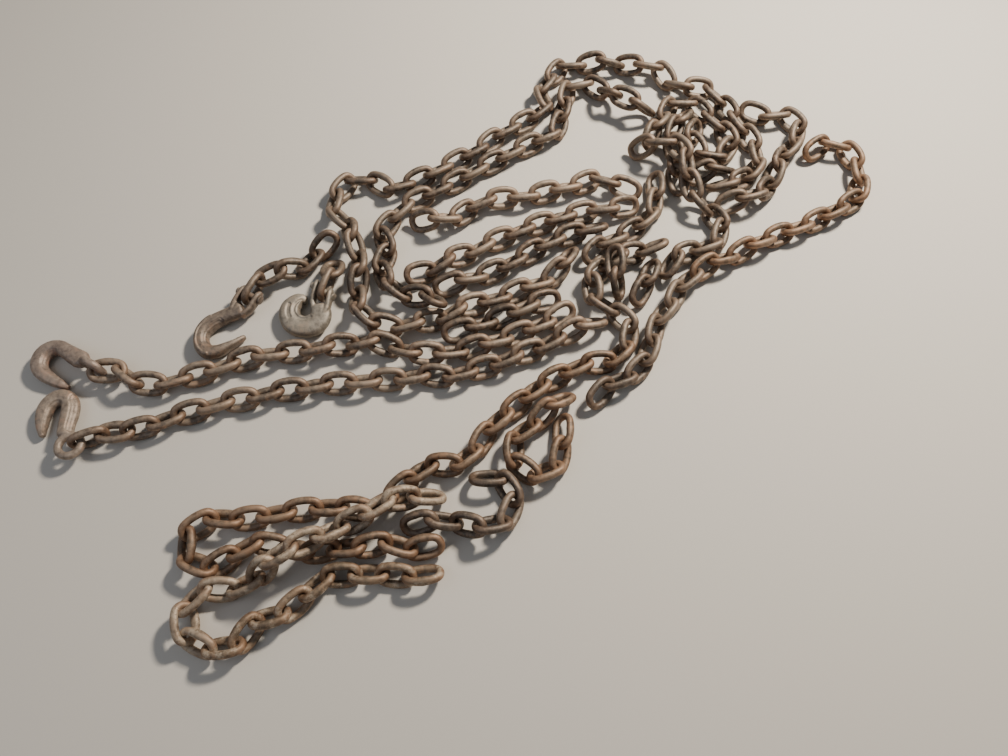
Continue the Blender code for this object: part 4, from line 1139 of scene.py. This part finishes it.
# The floor, the camera and the light
def lay_floor():
    """The plain floor."""
    bpy.ops.object.select_all(action="DESELECT")
    bpy.ops.mesh.primitive_plane_add(size=40.0)
    floor = bpy.context.object
    floor.name = "floor"
    floor.data.materials.append(matt_floor())


def set_camera(shift):
    """Looks down at the heap from the side that the hooks' shanks point away from."""
    camera = bpy.data.cameras.new("camera")
    camera.lens = CAMERA_FOCAL_PX / PICTURE_WIDTH_PX * camera.sensor_width
    camera.clip_start = 0.01
    seen = bpy.data.objects.new("camera", camera)
    seen.location = (np.array(CAMERA_PLACE) + shift) * MM
    seen.rotation_euler = (math.pi / 2 - CAMERA_LOOKS_DOWN, 0, 0)
    bpy.context.scene.collection.objects.link(seen)
    bpy.context.scene.camera = seen


def hang_light(name, place, size, watts, colour):
    """A soft square light that shines at the middle of the heap."""
    light = bpy.data.lights.new(name, "AREA")
    light.size = size
    light.energy = watts
    light.color = hex_colour(colour)[:3]
    lamp = bpy.data.objects.new(name, light)
    lamp.location = place
    lamp.rotation_euler = (-Vector(place)).to_track_quat("-Z", "Y").to_euler()
    bpy.context.scene.collection.objects.link(lamp)


def light_scene():
    """A pale studio with a warm key light and a cool fill."""
    world = bpy.data.worlds.new("studio")
    world.use_nodes = True
    world.node_tree.nodes["Background"].inputs["Color"].default_value = hex_colour("#dfe6f0")
    world.node_tree.nodes["Background"].inputs["Strength"].default_value = 0.22
    bpy.context.scene.world = world
    hang_light("key_light", (0.9, 0.8, 1.3), 0.22, 56, "#fff6ea")
    hang_light("fill_light", (-1.2, -0.6, 1.4), 1.2, 5, "#e6eeff")


# Making
def dress_chain(chains, laid, shift, patterns):
    """One piece for each length of chain, in place of its solid."""
    luck = random.Random(SEED)
    made_steel = {name: rusted_steel(name, **look) for name, look in CHAIN_FINISHES.items()}
    finishes = {
        stretch: made_steel[name] for name, stretches in FINISHED_ALIKE.items() for stretch in stretches
    }
    for (_, names), joints in zip(chains, laid):
        middle, along, across = frames(joints[:-1], joints[1:], leans(names))
        made = {}
        for first, last in lengths_of(names):
            stretch = names[first]
            made[stretch] = made.get(stretch, 0) + 1
            node = f"{stretch}_{made[stretch]}"
            links = []
            for i in range(first, last):
                turned, flipped = luck.choice((1, -1)), luck.choice((1, -1))
                links.append(lay_link(
                    luck.choice(patterns), middle[i] + shift, along[i] * turned, across[i] * flipped,
                    luck.uniform(-TONE_SPREAD, TONE_SPREAD),
                ))
            length = join_pieces(links, f"{node}_links")
            length.modifiers.new("rounding", "SUBSURF")
            length.data.shade_smooth()
            length.data.materials.clear()
            length.data.materials.append(finishes.get(stretch, made_steel["weathered_chain_steel"]))
            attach(length, "root")
            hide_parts(node)


def main():
    """Lays the chain, models every piece in place of its solid, and sets up the picture."""
    chains = [route_joints(chain) for chain in CHAINS]
    lift = np.array((0, 0, HALF_WIDTH * math.sin(ROLL) + SOLID_CORNER))
    laid = lay(chains, [points + lift for points, _ in chains], solid_outlines(chains), **AS_SOLIDS)
    pin_low, pin_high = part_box("clevis_slip_hook_pin")
    shift = np.array((pin_low + pin_high) / 2) / MM - np.array(SLIP_PIN[0])
    round_outlines = np.array([link_outline(BAR / 2, BAR / 2) for _, names in chains for _ in names])
    laid = lay(chains, laid, round_outlines, **AS_ROUND_BAR, floor=-shift[2])
    patterns = [bend_link(*weld) for weld in LINK_WELDS]
    dress_chain(chains, laid, shift, patterns)
    dress_hooks(shift)
    for pattern in patterns:
        bpy.data.objects.remove(pattern)
    lay_floor()
    set_camera(shift)
    light_scene()


main()
